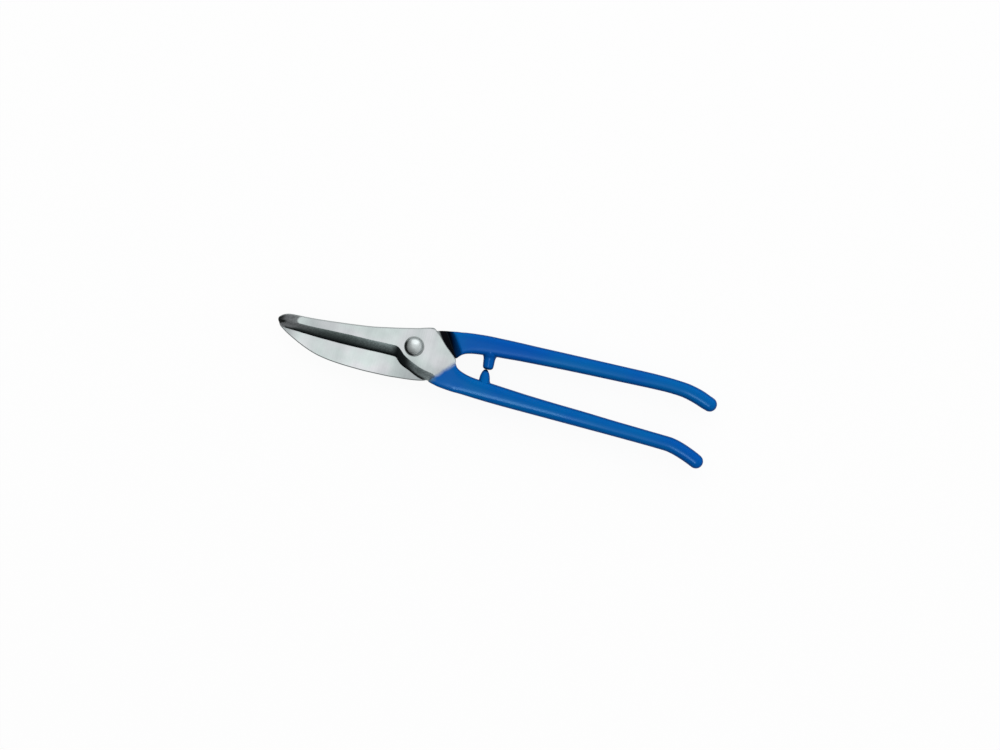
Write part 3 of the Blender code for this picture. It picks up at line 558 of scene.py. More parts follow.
def keep_side(piece, angle, start, ramp, level, side):
    """Keeps a handle's root above a level (side 1) or below it, and lets it swell out after that.

    The skin bends softly where it leaves the level or the swell."""
    for point in piece.data.vertices:
        ahead = (point.co.x * math.cos(angle) + point.co.y * math.sin(angle) - start) / ramp
        ahead = min(max(ahead, 0), 1)
        swell = ahead * ahead * (3 - 2 * ahead)
        limit = level - side * swell * abs(level - pivot.z + side * SWELL_REACH)
        beyond = side * (point.co.z - limit)
        blend = max(0, 1 - abs(beyond) / SWELL_BEND)
        point.co.z = limit + side * (max(beyond, 0) + blend * blend * SWELL_BEND / 4)
    work = bmesh.new()
    work.from_mesh(piece.data)
    bmesh.ops.remove_doubles(work, verts=work.verts, dist=MERGE)
    work.to_mesh(piece.data)
    work.free()


TANG_INSET, TANG_BITE = 0.85 * MM, 0.25 * MM
TANG_SWELL, TANG_RAMP, TANG_LEVEL = 1.0 * MM, 3.2 * MM, 14.1 * MM
SQUARE_HOLE, SQUARE_HOLE_SPAN = 4.5 * MM, (13 * MM, 21 * MM)
upper_blade = lever_plate(
    "upper_blade", UPPER_BACK, UPPER_LAND, UPPER_EDGE, UPPER_THICKNESS, 1, 0.7 * MM, 0.2 * MM
)
trim(upper_blade, LOWER_COAT_ANGLE, LOWER_COAT_START)
upper_tang = swept("upper_tang", LOWER_HANDLE, -1, TANG_INSET)
keep_side(upper_tang, LOWER_COAT_ANGLE, LOWER_COAT_START + TANG_SWELL, TANG_RAMP, TANG_LEVEL, 1)
trim(upper_tang, LOWER_COAT_ANGLE, LOWER_COAT_START - TANG_BITE, keep=1)
hole = loft("square_hole", [
    [Vector((SQUARE_HOLE * x, SQUARE_HOLE * y, z)) for x, y in ((-1, -1), (1, -1), (1, 1), (-1, 1))]
    for z in SQUARE_HOLE_SPAN
])
carve(upper_blade, "DIFFERENCE", hole)
carve(upper_blade, "UNION", upper_tang)
smooth(upper_blade)
upper_blade.data.materials.clear()
upper_blade.data.materials.append(lever_steel(
    "upper_blade_steel", upper_tone, upper_skin_and_shade, upper_nose, upper_end, PAINT_BLUE
))
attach(upper_blade, "upper_blade_half")
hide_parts("upper_blade_lever")


# Lower blade lever: the deep-bellied blade and its hub, which lie under the upper lever. The face
# that slides on the upper blade is ground flat, and its bevel and hub side show from below.
LOWER_BACK = (
    (-90.9, -7.9), (-90.6, -8.8), (-90.0, -9.6), (-87.5, -11.4), (-85.0, -12.9), (-80.0, -15.4),
    (-75.0, -17.7), (-70.0, -19.7), (-65.0, -21.35), (-60.0, -22.6), (-50.0, -23.9),
    (-40.0, -24.4), (-30.0, -24.5), (-20.0, -24.2), (-12.0, -23.8), (-6.0, -23.2), (0.0, -22.6),
    (5.0, -21.9), (10.0, -20.9), (12.5, -20.0), (13.5, -17.9), (15.0, -16.0), (18.0, -12.5),
    (20.5, -9.5), (22.8, -6.0), (24.0, -2.4), (26.0, -1.2), (30.0, -0.2),
)
LOWER_LAND = (
    (-90.9, -7.75), (-90.0, -7.9), (-87.5, -8.6), (-85.0, -9.4), (-80.0, -10.3), (-75.0, -10.8),
    (-70.0, -11.0), (-60.0, -10.9), (-50.0, -10.7), (-30.0, -10.5), (-20.0, -10.4), (-12.0, -10.0),
    (-10.0, -8.5), (-9.0, -6.5), (-8.0, -3.0), (-6.0, 1.5), (-3.0, 5.2), (0.0, 7.6), (5.0, 10.2),
    (10.0, 12.4), (15.0, 14.0), (20.5, 15.2), (24.0, 15.9), (30.0, 17.0),
)
LOWER_EDGE = (
    (-90.9, -7.6), (-90.6, -7.0), (-90.0, -6.6), (-87.5, -6.1), (-85.0, -5.8), (-80.0, -5.5),
    (-70.0, -5.1), (-60.0, -4.9), (-40.0, -4.6), (-20.0, -4.4), (-12.0, -4.2), (-10.0, -3.4),
    (-9.0, -1.5), (-8.0, 1.5), (-6.0, 5.5), (-3.0, 8.7), (0.0, 10.4), (5.0, 12.2), (10.0, 13.6),
    (12.5, 14.1), (15.0, 14.8), (20.5, 15.9), (24.0, 16.6), (30.0, 17.6),
)
LOWER_THICKNESS = (
    (-90.9, 1.2), (-90.0, 2.2), (-87.5, 3.0), (-85.0, 3.7), (-80.0, 4.5), (-75.0, 5.0),
    (-70.0, 5.4), (-65.0, 5.7), (-58.0, 6.0), (30.0, 6.0),
)
UPPER_COAT_ANGLE, UPPER_COAT_START = math.radians(35.0), 23.1 * MM
# Near black painted where the neck, the ledge and the stop ends lie in shade.
PAINTED_SHADE_BLACK = (0.001, 0.001, 0.003, 1)
NECK_DARK_FROM, NECK_DARK_BY = 18.0 * MM, 19.6 * MM
UPPER_HANDLE = (
    (14.0, 1.0, 10.0, 0), (17.0, -0.6, 15.8, 0), (20.0, -0.6, 16.4, 0), (25.0, -0.4, 17.2, 0),
    (28.0, -0.6, 17.8, 0), (28.9, -0.5, 17.9, 0), (29.5, 0.1, 17.4, 0), (30.3, 1.1, 16.6, 0),
    (31.6, 2.4, 15.5, 0), (33.0, 3.4, 14.7, 0), (35.0, 4.3, 14.1, 0), (40.0, 5.5, 13.5, 0),
    (45.0, 6.2, 13.3, 0), (54.0, 7.2, 12.8, 0), (60.0, 7.7, 12.6, 0), (70.0, 8.6, 12.1, 0),
    (80.0, 9.3, 11.7, 0), (100.0, 10.6, 11.2, 0), (120.0, 11.7, 10.8, 0), (140.0, 12.7, 10.5, 0),
    (160.0, 13.7, 10.15, 0), (170.0, 14.0, 9.85, -3), (175.0, 13.9, 9.8, -6),
    (180.0, 13.6, 9.9, -11), (185.0, 12.7, 10.1, -17), (190.0, 11.4, 10.2, -20),
    (195.0, 9.8, 10.0, -22), (198.2, 8.96, 9.7, -22),
)
LEDGE, LEDGE_END, LEDGE_RAMP = 13.6 * MM, 23.4 * MM, 6.9 * MM
BEARING, BEARING_SIDES, BEARING_SPAN = 4.08 * MM, 64, (7 * MM, 14 * MM)


def lower_tone(w):
    """The blade is bright in its middle, and duller at its point and towards the hub."""
    x = w.coordinate(0)
    return x.step(-28 * MM, 8 * MM, 0.75, 0.1) - x.step(-88 * MM, -72 * MM, 0.8, 0)


def lower_skin_and_shade(w, scale):
    # Painted shade: the bevel's skin darkens from the land to near black at the edge.
    return w.attribute("depth").mix(BEVEL_SKIN, SCALE_AND_SHADE_DARK)


def lower_nose(w):
    """The lower blade is ground to its very point."""
    return w.coordinate(0) * 0


def lower_neck_shade(w):
    """Painted shade on the neck: black from a little way out of the upper hub."""
    return along(w, UPPER_COAT_ANGLE).step(NECK_DARK_FROM, NECK_DARK_BY)


lower_blade = lever_plate(
    "lower_blade", LOWER_BACK, LOWER_LAND, LOWER_EDGE, LOWER_THICKNESS, -1, 0.7 * MM, 0.65 * MM
)
trim(lower_blade, UPPER_COAT_ANGLE, UPPER_COAT_START)
lower_tang = swept("lower_tang", UPPER_HANDLE, 1, TANG_INSET)
keep_side(lower_tang, UPPER_COAT_ANGLE, LEDGE_END + TANG_SWELL, LEDGE_RAMP, LEDGE - TANG_INSET, -1)
trim(lower_tang, UPPER_COAT_ANGLE, UPPER_COAT_START - TANG_BITE, keep=1)
turns = [math.tau * step / BEARING_SIDES for step in range(BEARING_SIDES)]
hole = loft("bearing_hole", [
    [Vector((BEARING * math.cos(turn), BEARING * math.sin(turn), z)) for turn in turns]
    for z in BEARING_SPAN
])
carve(lower_blade, "DIFFERENCE", hole)
carve(lower_blade, "UNION", lower_tang)
smooth(lower_blade)
lower_blade.data.materials.clear()
lower_blade.data.materials.append(lever_steel(
    "lower_blade_steel", lower_tone, lower_skin_and_shade, lower_nose, lower_neck_shade, PAINTED_SHADE_BLACK
))
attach(lower_blade, "lower_blade_half")
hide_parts("lower_blade_lever")


# Handle coatings: thick glossy blue coats, dipped over the steel tangs of the two levers. Each one
# starts on the flat of its lever, narrows along the grip and ends round, turned towards the palm.
COAT_WALL = 0.8 * MM
CORE_LEVEL = 14.05 * MM


def coated(name, table, outward, angle, start, core_side, outer_side, material):
    """A coat: the handle's skin, and the hollow under it for the tang, open at the root.

    Each side is what keep_side needs to shape the root of the skin or of the hollow."""
    piece = swept(name, table, outward, 0.0, material)
    if outer_side:
        keep_side(piece, *outer_side)
    core = swept("coat_core", table, outward, COAT_WALL)
    keep_side(core, *core_side)
    work = bmesh.new()
    work.from_mesh(core.data)
    bmesh.ops.reverse_faces(work, faces=work.faces)
    work.from_mesh(piece.data)
    work.to_mesh(piece.data)
    work.free()
    bpy.data.objects.remove(core, do_unlink=True)
    trim(piece, angle, start, keep=1, hollow=True)
    smooth(piece, 50)
    return piece


COAT_DEEP = (0.0, 0.082, 0.40, 1)
COAT_CLEAR = (0.0, 0.114, 0.39, 1)
COAT_SIDE_SHADE = (0.0, 0.058, 0.24, 1)
ROOT_FROM, ROOT_BY, ROOT_DULL = 21 * MM, 34 * MM, 0.16
DULL_FROM, DULL_BY, BEND_FROM, BEND_BY = 95 * MM, 145 * MM, 176 * MM, 186 * MM


def blue_coat(name, near, middle, bend, end=None, end_colour=None):
    """Glossy blue with soft cloudy patches, painted shade on the steep sides, and any coloured end.

    It has one roughness near the pivot, another along the grip and a third round the bend."""
    material, w = new_finish(name)
    cloud, peel, x = w.noise(38, 3, (0.5, 1, 1)), w.noise(420, 2), w.coordinate(0)
    roughness = x.step(DULL_FROM, DULL_BY, near, middle) * x.step(BEND_FROM, BEND_BY, 1, 0)
    roughness = roughness + x.step(BEND_FROM, BEND_BY, 0, bend) + cloud * 0.04
    roughness = roughness + x.step(ROOT_FROM, ROOT_BY, ROOT_DULL, 0)
    facing = w.node("ShaderNodeNewGeometry", {}, {}, 1)
    up = w.node("ShaderNodeSeparateXYZ", {}, {"Vector": facing}, 2)
    # Painted shade: the steep sides, whose normals turn away from up, are coloured deeper blue.
    side = (up * up).step(0.2, 0.7, 1, 0)
    colour = side.mix(cloud.step(0.33, 0.67).mix(COAT_DEEP, COAT_CLEAR), COAT_SIDE_SHADE)
    if end:
        colour = end(w).mix(end_colour(w), colour)
    normal = w.node("ShaderNodeBump", {}, {"Strength": 0.04, "Distance": 0.03 * MM, "Height": peel})
    values = {
        "Base Color": colour,
        "Roughness": roughness,
        "Specular IOR Level": 0.02,
        "Normal": normal,
    }
    shader = w.node("ShaderNodeBsdfPrincipled", {}, values)
    w.node("ShaderNodeOutputMaterial", {}, {"Surface": shader})
    return material


THIN_COAT = (0.56, 0.62, 0.65, 1)
THIN_ON_BEVEL = (0.10, 0.19, 0.22, 1)


def thin_coat(w):
    """The steel seen through the thin start of the coat: pale on the flat, dark on the bevel."""
    return w.coordinate(1).step(-17 * MM, -14.5 * MM).mix(THIN_ON_BEVEL, THIN_COAT)


lower_coat = coated(
    "lower_coat", LOWER_HANDLE, -1, LOWER_COAT_ANGLE, LOWER_COAT_START,
    (LOWER_COAT_ANGLE, LOWER_COAT_START + TANG_SWELL, TANG_RAMP, CORE_LEVEL, 1), None,
    blue_coat("lower_coat_blue", 0.20, 0.34, 0.22, upper_end, thin_coat),
)
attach(lower_coat, "upper_blade_half")
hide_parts("lower_handle_coating")

SHOULDER = 24.9 * MM, 26.6 * MM
SHOULDER_FADE = 2.1 * MM


def shoulder_shade(w):
    """Painted shade on the ledge beside the hub: black, in a line that bends in towards the crotch.
    """
    line = w.coordinate(1).step(0, 14 * MM, *SHOULDER)
    return (along(w, UPPER_COAT_ANGLE) - line).step(-SHOULDER_FADE, SHOULDER_FADE)


upper_coat = coated(
    "upper_coat", UPPER_HANDLE, 1, UPPER_COAT_ANGLE, UPPER_COAT_START,
    (UPPER_COAT_ANGLE, LEDGE_END + TANG_SWELL, LEDGE_RAMP, LEDGE - COAT_WALL, -1),
    (UPPER_COAT_ANGLE, LEDGE_END, LEDGE_RAMP, LEDGE, -1),
    blue_coat("upper_coat_blue", 0.33, 0.38, 0.22, shoulder_shade, lambda w: PAINTED_SHADE_BLACK),
)
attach(upper_coat, "lower_blade_half")
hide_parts("upper_handle_coating")


# Stops: two short pegs on the facing sides of the handles, which meet when the tool is shut. They
# are forged with the levers and dipped with them, so the blue coat runs over them without a seam.
PEG_SIDES = 48
UPPER_PEG = (
    (-3.0, 5.4), (-0.3, 5.0), (0.1, 4.6), (0.6, 4.3), (1.2, 4.08), (2.0, 3.92), (3.4, 3.8),
    (5.4, 3.7), (6.6, 3.62), (7.4, 3.48), (8.0, 3.2), (8.45, 2.78), (8.78, 2.2), (8.95, 1.55),
    (9.04, 0.9), (9.06, 0.3),
)
LOWER_PEG = (
    (-3.0, 4.9), (-0.6, 4.3), (-0.1, 3.94), (0.5, 3.7), (1.2, 3.58), (2.3, 3.46), (3.3, 3.28),
    (4.3, 3.0), (5.3, 2.64), (6.1, 2.26), (6.8, 1.86), (7.3, 1.5), (7.6, 1.16), (7.76, 0.82),
    (7.82, 0.4), (7.84, 0.1),
)
CONTACT = -2.5 * MM
PEG_GLOSS = 0.24


def contact_shade(w):
    """A painted contact shadow darkens the ends where the two stops meet."""
    return w.math("ABSOLUTE", w.coordinate(1) - CONTACT).step(0.3 * MM, 2.2 * MM, 0.15, 1)


def stop_peg(name, root, tip, outline):
    """A peg from inside its handle's coat to its tip, by an outline of reaches and radii in mm."""
    root, tip = (Vector((x * MM, y * MM, pivot.z)) for x, y in (root, tip))
    ahead = (tip - root).normalized()
    across = Vector((-ahead.y, ahead.x, 0))
    rings = []
    for reach, radius in outline:
        turns = (math.tau * side / PEG_SIDES for side in range(PEG_SIDES))
        rings.append([
            root + (ahead * reach + across * radius * math.cos(turn)) * MM
            + Vector((0, 0, radius * MM * math.sin(turn))) for turn in turns
        ])
    piece = loft(name, rings)
    piece.data.materials.append(blue_coat(
        name + "_blue", PEG_GLOSS, PEG_GLOSS, PEG_GLOSS, contact_shade, lambda w: PAINTED_SHADE_BLACK
    ))
    smooth(piece, 50)
    return piece


upper_peg = stop_peg("upper_stop", (50.05, 6.6), (50.95, -2.2), UPPER_PEG)
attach(upper_peg, "lower_blade_half")
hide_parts("upper_stop_peg")
lower_peg = stop_peg("lower_stop", (50.75, -10.3), (49.85, -3.2), LOWER_PEG)
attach(lower_peg, "upper_blade_half")
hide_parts("lower_stop_peg")


# Pivot bolt: a coach-headed steel bolt with a polished round head, keyed in the upper lever by the
# square neck under its head, and threaded at its end for the nut.
HEAD_BASE, RIM_TOP, HEAD_TOP = 20.2, 21.0, 24.4
RIM_RADIUS, DOME_RADIUS, SHANK_RADIUS, THREAD_ROOT = 6.65, 5.6, 4.0, 3.4
NECK_HALF, NECK_BASE = 4.2, 14.2
NECK_CHAMFER = 0.5
THREAD_TOP, THREAD_BASE, THREAD_PITCH = 6.0, 0.75, 1.25
RIDGE, THREAD_STEPS, RIDGE_SIDES = 0.42, 48, 6
CORNER_START, CORNER_END = 5.5 * MM, 5.8 * MM
# Share of painted shade in the groove at the dome's foot.
CORNER_SHADE_SHARE = 0.42


def turned(name, outline, sides=128):
    """A body of revolution about the pivot, from a closed outline of radii and heights in mm."""
    work = bmesh.new()
    rows = []
    for side in range(sides):
        turn = math.tau * (side + 0.5) / sides
        rows.append([
            work.verts.new((r * math.cos(turn) * MM, r * math.sin(turn) * MM, z * MM))
            for r, z in outline
        ])
    for i, row in enumerate(rows):
        for j, point in enumerate(row):
            if outline[j][0] or outline[j - 1][0]:
                work.faces.new((point, row[j - 1], rows[i - 1][j - 1], rows[i - 1][j]))
    bmesh.ops.remove_doubles(work, verts=work.verts, dist=0.001 * MM)
    bmesh.ops.recalc_face_normals(work, faces=work.faces)
    mesh = bpy.data.meshes.new(name)
    work.to_mesh(mesh)
    work.free()
    piece = bpy.data.objects.new(name, mesh)
    bpy.context.scene.collection.objects.link(piece)
    return piece


def dome(sides):
    """Outline of the head's dome, from near its top down to the rim."""
    for side in range(sides + 1):
        angle = math.pi / 2 * side / sides * 0.97
        yield DOME_RADIUS * math.sin(angle), RIM_TOP + (HEAD_TOP - RIM_TOP) * math.cos(angle)


def turned_metal(name, dull, bright, roughness, lines=1.0, painted_shade=None, rim=None):
    """Turned or plated steel, with faint rings round the pivot, cloudy stains and any painted
    shade.
    """
    material, w = new_finish(name)
    x, y = w.coordinate(0), w.coordinate(1)
    radius = (x * x + y * y) ** 0.5
    place = w.node("ShaderNodeCombineXYZ", {}, {0: radius, 2: w.coordinate(2)})
    rings = w.node("ShaderNodeTexNoise", {}, {"Vector": place, "Scale": 5200, "Detail": 2.0})
    cloud = w.noise(240, 3)
    colour = cloud.step(0.3, 0.7).mix(dull, bright)
    if painted_shade:
        colour = painted_shade(w, x, y, radius).mix(colour, HEAD_SHADE_DARK)
    values = {"Strength": 0.2 * lines, "Distance": 0.01 * MM, "Height": rings}
    normal = w.node("ShaderNodeBump", {}, values)
    roughness = roughness + cloud * 0.1 + rings * 0.05
    if rim:
        roughness = roughness + radius.step(CORNER_START, CORNER_END) * rim
    values = {"Base Color": colour, "Metallic": 1.0, "Roughness": roughness, "Normal": normal}
    shader = w.node("ShaderNodeBsdfPrincipled", {}, values)
    w.node("ShaderNodeOutputMaterial", {}, {"Surface": shader})
    return material


BOLT_DULL = (0.44, 0.48, 0.48, 1)
BOLT_BRIGHT = (0.55, 0.595, 0.595, 1)
# Near black for the painted shade on the bolt head.
HEAD_SHADE_DARK = (0.012, 0.014, 0.014, 1)


def head_shade(w, x, y, radius):
    """Painted shade round the dome, dark on the side by the blades and faint elsewhere, and a
    painted shade in the groove at the dome's foot all round.
    """
    # Painted shade: a dark ring round the dome, strongest on the side towards the blades.
    corner = radius.step(4.0 * MM, 5.2 * MM) * radius.step(6.1 * MM, 6.45 * MM, 1, 0.3)
    side = (x * -0.77 + y * -0.64 + (w.noise(260, 3) - 0.5) * 2 * MM).step(0, 4.2 * MM, 0.12, 1)
    corner_shade = radius.step(CORNER_START, CORNER_END) * CORNER_SHADE_SHARE
    on_head = w.coordinate(2).step(HEAD_BASE * MM, RIM_TOP * MM)
    return w.math("MAXIMUM", corner * side, corner_shade) * on_head


bolt = turned("bolt", [
    *dome(28), (5.62, 21.05), (5.68, 20.98), (5.78, 20.98), (5.95, 21.05), (6.12, 21.08),
    (6.3, 21.03), (6.46, 20.92), (6.58, 20.77), (RIM_RADIUS, 20.6), (RIM_RADIUS, 20.35),
    (6.58, 20.24), (6.45, HEAD_BASE), (SHANK_RADIUS, HEAD_BASE), (SHANK_RADIUS, THREAD_TOP + 0.6),
    (THREAD_ROOT, THREAD_TOP), (THREAD_ROOT, 0.5), (3.0, 0.06), (2.85, 0.0), (0.0, 0.0),
])
neck = loft("square_neck", [
    [Vector((x * MM, y * MM, z * MM)) for x, y in (
        (side * (NECK_HALF - cut), other * (NECK_HALF - NECK_CHAMFER + cut))
        for side, other, cut in (
            (1, -1, 0), (1, 1, 0), (1, 1, NECK_CHAMFER), (-1, 1, NECK_CHAMFER),
            (-1, 1, 0), (-1, -1, 0), (-1, -1, NECK_CHAMFER), (1, -1, NECK_CHAMFER),
        )
    )] for z in (NECK_BASE, HEAD_BASE + 0.3)
])
carve(bolt, "UNION", neck)
smooth(bolt, 35)
polish = turned_metal("bolt_polish", BOLT_DULL, BOLT_BRIGHT, 0.19, painted_shade=head_shade, rim=0.25)
bolt.data.materials.clear()
bolt.data.materials.append(polish)
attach(bolt, "upper_blade_half")
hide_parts("pivot_bolt")


def thread_tree():
    """Geometry Nodes that wind a thread's ridge up a shank."""
    tree = bpy.data.node_groups.new("thread", "GeometryNodeTree")
    inputs = ("Radius", "Float"), ("Ridge", "Float"), ("Turns", "Float"), ("Height", "Float")
    for title, kind in (*inputs, ("Foot", "Vector"), ("Material", "Material")):
        tree.interface.new_socket(title, in_out="INPUT", socket_type="NodeSocket" + kind)
    tree.interface.new_socket("Thread", in_out="OUTPUT", socket_type="NodeSocketGeometry")
    w = Wire(tree)
    radius, ridge, turns, height, foot, material = (
        w.node("NodeGroupInput", {}, {}, place) for place in range(6)
    )
    values = {"Resolution": THREAD_STEPS, "Rotations": turns, "Height": height}
    values.update({"Start Radius": radius, "End Radius": radius})
    path = w.node("GeometryNodeCurveSpiral", {}, values)
    values = {"Resolution": RIDGE_SIDES, "Radius": ridge}
    ring = w.node("GeometryNodeCurvePrimitiveCircle", {}, values)
    values = {"Curve": path, "Profile Curve": ring, "Fill Caps": True}
    ridge = w.node("GeometryNodeCurveToMesh", {}, values)
    ridge = w.node("GeometryNodeTransform", {}, {"Geometry": ridge, "Translation": foot})
    ridge = w.node("GeometryNodeRealizeInstances", {}, {"Geometry": ridge})
    ridge = w.node("GeometryNodeSetMaterial", {}, {"Geometry": ridge, "Material": material})
    w.node("NodeGroupOutput", {}, {"Thread": ridge})
    return tree


thread_nodes = thread_tree()
thread = bpy.data.objects.new("bolt_thread", bpy.data.meshes.new("bolt_thread"))
bpy.context.scene.collection.objects.link(thread)
modifier = thread.modifiers.new("thread", "NODES")
modifier.node_group = thread_nodes
thread_height = THREAD_TOP - THREAD_BASE
for title, value in (
    ("Radius", (SHANK_RADIUS - RIDGE) * MM), ("Ridge", RIDGE * MM),
    ("Turns", thread_height / THREAD_PITCH), ("Height", thread_height * MM),
    ("Foot", (0, 0, THREAD_BASE * MM)), ("Material", polish),
):
    modifier[thread_nodes.interface.items_tree[title].identifier] = value
bake(thread)
smooth(thread, 50)
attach(thread, "upper_blade_half")


# Washers: a dished spring washer that keeps the two levers pressed together, and a flat one between
# it and the nut. Both are stamped from sheet and zinc plated.
LOOSE_BORE = 4.3
ZINC_DULL = (0.42, 0.42, 0.40, 1)
ZINC_BRIGHT = (0.60, 0.60, 0.57, 1)


def washer(name, node, outer, inner_top, thickness, dish):
    """A stamped washer: its edge is rounded on the side where the punch came in."""
    piece = turned(name, [
        (LOOSE_BORE, inner_top - 0.12), (LOOSE_BORE + 0.12, inner_top),
        (outer - 0.25, inner_top - dish), (outer - 0.08, inner_top - dish - 0.07),
        (outer, inner_top - dish - 0.25), (outer, inner_top - dish - thickness + 0.05),
        (outer - 0.05, inner_top - dish - thickness), (LOOSE_BORE + 0.05, inner_top - thickness),
        (LOOSE_BORE, inner_top - thickness + 0.05),
    ])
    piece.data.materials.append(turned_metal(name + "_zinc", ZINC_DULL, ZINC_BRIGHT, 0.3, 0.6))
    smooth(piece)
    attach(piece, "upper_blade_half")
    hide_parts(node)


washer("dished_washer", "spring_washer", 7.5, 7.3, 0.7, 0.4)
washer("thin_washer", "flat_washer", 8.0, 5.9, 0.8, 0.0)


# Self-locking nut: a plated hexagon with its corners turned off, and a round collar which is rolled
# in over a nylon ring that grips the bolt's thread.
NUT_TOP, HEXAGON_BASE, NUT_BASE = 4.8, 2.0, 0.6
NUT_HALF_WIDTH, COLLAR_RADIUS = 6.5, 6.1
RING_TOP, RING_BASE, RING_RADIUS = 2.1, 1.2, 5.3
corner = NUT_HALF_WIDTH / math.cos(math.pi / 6)
nut = loft("lock_nut", [
    [Vector((corner * math.cos(turn) * MM, corner * math.sin(turn) * MM, z * MM)) for turn in
     (math.pi / 6 + math.pi / 3 * side for side in range(6))] for z in (HEXAGON_BASE, NUT_TOP)
])
carve(nut, "INTERSECT", turned("nut_turning", [
    (0, NUT_TOP + 0.1), (NUT_HALF_WIDTH - 0.25, NUT_TOP + 0.1), (corner + 0.1, NUT_TOP - 0.75),
    (corner + 0.1, HEXAGON_BASE + 0.7), (NUT_HALF_WIDTH - 0.2, HEXAGON_BASE - 0.1),
    (0, HEXAGON_BASE - 0.1),
]))
carve(nut, "UNION", turned("nut_collar", [
    (0, HEXAGON_BASE + 1), (COLLAR_RADIUS, HEXAGON_BASE + 1), (COLLAR_RADIUS, NUT_BASE + 0.9),
    (COLLAR_RADIUS - 0.08, NUT_BASE + 0.5), (COLLAR_RADIUS - 0.3, NUT_BASE + 0.15),
    (COLLAR_RADIUS - 0.6, NUT_BASE), (0, NUT_BASE),
]))
carve(nut, "DIFFERENCE", turned("nut_bore", [
    (0, NUT_TOP + 1), (LOOSE_BORE + 1.3, NUT_TOP + 1), (LOOSE_BORE + 0.3, NUT_TOP),
    (LOOSE_BORE, NUT_TOP - 0.4), (LOOSE_BORE, RING_TOP + 0.05),
    (RING_RADIUS + 0.05, RING_TOP + 0.05), (RING_RADIUS + 0.05, RING_BASE - 0.05),
    (RING_RADIUS - 0.3, RING_BASE - 0.2), (RING_RADIUS - 0.3, NUT_BASE - 1), (0, NUT_BASE - 1),
]))
smooth(nut)
nut.data.materials.clear()
nut.data.materials.append(turned_metal("nut_zinc", ZINC_DULL, ZINC_BRIGHT, 0.28, 0.6))
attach(nut, "upper_blade_half")
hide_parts("pivot_nut")


# Locking ring: a plain nylon ring held in the nut's collar. The bolt's thread cuts its own way
# through its bore and cannot shake loose.
NYLON_PALE = (0.72, 0.71, 0.66, 1)
NYLON_WARM = (0.62, 0.60, 0.53, 1)
ring = turned("locking_ring", [
    (LOOSE_BORE - 0.2, RING_TOP), (RING_RADIUS, RING_TOP), (RING_RADIUS, RING_BASE + 0.1),
    (RING_RADIUS - 0.1, RING_BASE), (LOOSE_BORE + 0.15, RING_BASE),
    (LOOSE_BORE - 0.2, RING_BASE + 0.3),
])
material, w = new_finish("nylon")
grain = w.noise(900, 3)
values = {"Strength": 0.2, "Distance": 0.02 * MM, "Height": grain}
values = {
    "Base Color": grain.step(0.3, 0.7).mix(NYLON_WARM, NYLON_PALE),
    "Roughness": 0.42 + grain * 0.15,
    "Normal": w.node("ShaderNodeBump", {}, values),
}
w.node("ShaderNodeOutputMaterial", {}, {"Surface": w.node("ShaderNodeBsdfPrincipled", {}, values)})
ring.data.materials.append(material)
smooth(ring)
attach(ring, "upper_blade_half")
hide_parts("nut_lock_ring")


# Floor and soft studio light: a pale floor under the tool, a sky that is brighter behind it than in
# front, broad panels above and behind for the steel, and a bluish strip that only the coats mirror.
def new_lamp(name, place, size, watts):
    lamp = bpy.data.lights.new(name, "AREA")
    lamp.shape = "RECTANGLE"
    lamp.size, lamp.size_y = size
    lamp.energy = watts
    item = bpy.data.objects.new(name, lamp)
    bpy.context.scene.collection.objects.link(item)
    item.location = place
    item.rotation_euler = (FIELD_CENTRE - Vector(place)).to_track_quat("-Z", "Y").to_euler()
    item.visible_camera = False
    return item


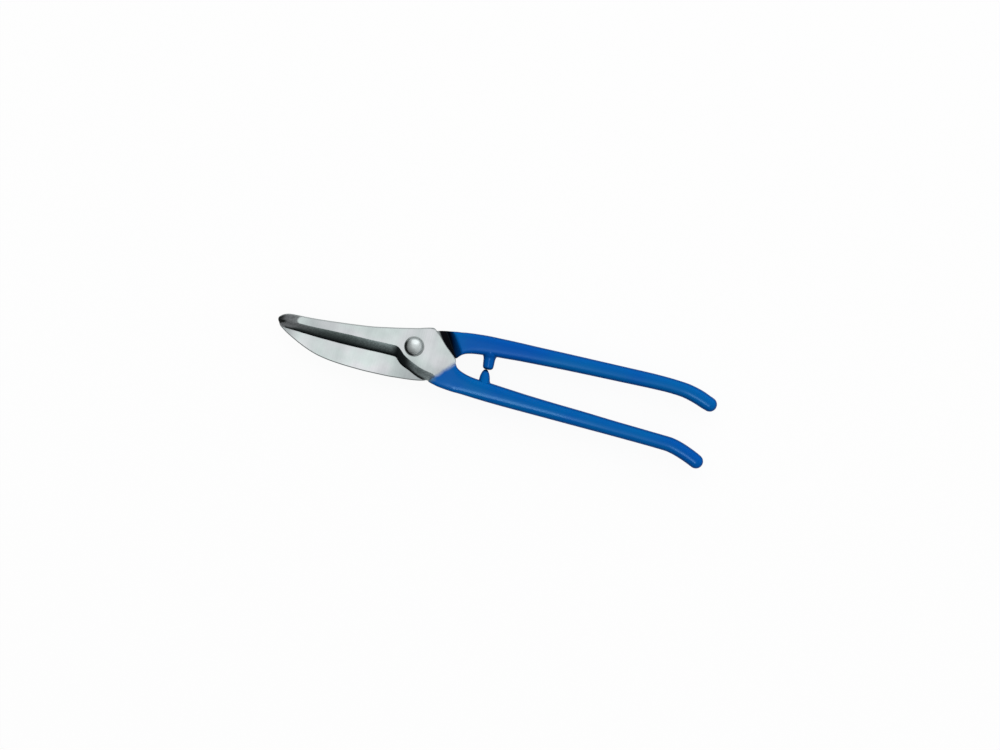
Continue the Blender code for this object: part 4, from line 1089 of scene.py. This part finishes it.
TOP_WATTS, BACK_WATTS, STRIP_WATTS = 5.3, 9.5, 175
STRIP_TINT = 0.34, 0.68, 1.0
new_lamp("top_light", (0.2, 0.3, 2.6), (2.6, 2.0), TOP_WATTS)
new_lamp("back_light", (0.0, 1.35, 1.05), (2.3, 1.9), BACK_WATTS)
strip = new_lamp("coat_strip", (0.1, -0.72, 2.4), (0.26, 0.95), STRIP_WATTS)
strip.data.color = STRIP_TINT
strip.visible_diffuse = False
coated_pieces = bpy.data.collections.new("coated_pieces")
for piece in (lower_coat, upper_coat, lower_peg, upper_peg):
    coated_pieces.objects.link(piece)
strip.light_linking.receiver_collection = coated_pieces

world = bpy.data.worlds.new("studio")
bpy.context.scene.world = world
world.use_nodes = True
world.node_tree.nodes.clear()
w = Wire(world.node_tree)
SKY_LEVEL, SKY_RISE, SKY_LEAST = 0.56, (0.28, 0.36, 0.24), 0.25
direction = w.node("ShaderNodeTexCoord", {}, {}, 0)
sky = w.node("ShaderNodeVectorMath", {"operation": "DOT_PRODUCT"}, {0: direction, 1: SKY_RISE}, 1)
sky = w.math("MAXIMUM", sky + SKY_LEVEL, SKY_LEAST)
light = w.node("ShaderNodeBackground", {}, {"Color": sky})
w.node("ShaderNodeOutputWorld", {}, {"Surface": light})

FLOOR_SIZE = 5.0
FLOOR_PALE = (0.90, 0.90, 0.90, 1)
SEEN_WHITE, SEEN_SHARE = (1, 1, 1, 1), 0.93
CAMERA_RAY, GLOSSY_RAY, TRANSMITTED_RAY = 0, 3, 6
floor_mesh = bpy.data.meshes.new("floor")
work = bmesh.new()
bmesh.ops.create_grid(work, x_segments=1, y_segments=1, size=FLOOR_SIZE / 2)
work.to_mesh(floor_mesh)
work.free()
floor = bpy.data.objects.new("floor", floor_mesh)
bpy.context.scene.collection.objects.link(floor)
material, w = new_finish("floor_white")
pale = w.node("ShaderNodeBsdfDiffuse", {}, {"Color": FLOOR_PALE})
white = w.node("ShaderNodeEmission", {}, {"Color": SEEN_WHITE, "Strength": 1.0})
ray = w.node("ShaderNodeLightPath", {}, {}, CAMERA_RAY)
for kind in (GLOSSY_RAY, TRANSMITTED_RAY):
    ray = ray.math("MAXIMUM", ray, w.node("ShaderNodeLightPath", {}, {}, kind))
seen = w.node("ShaderNodeMixShader", {}, {0: ray * SEEN_SHARE, 1: pale, 2: white})
w.node("ShaderNodeOutputMaterial", {}, {"Surface": seen})
floor_mesh.materials.append(material)
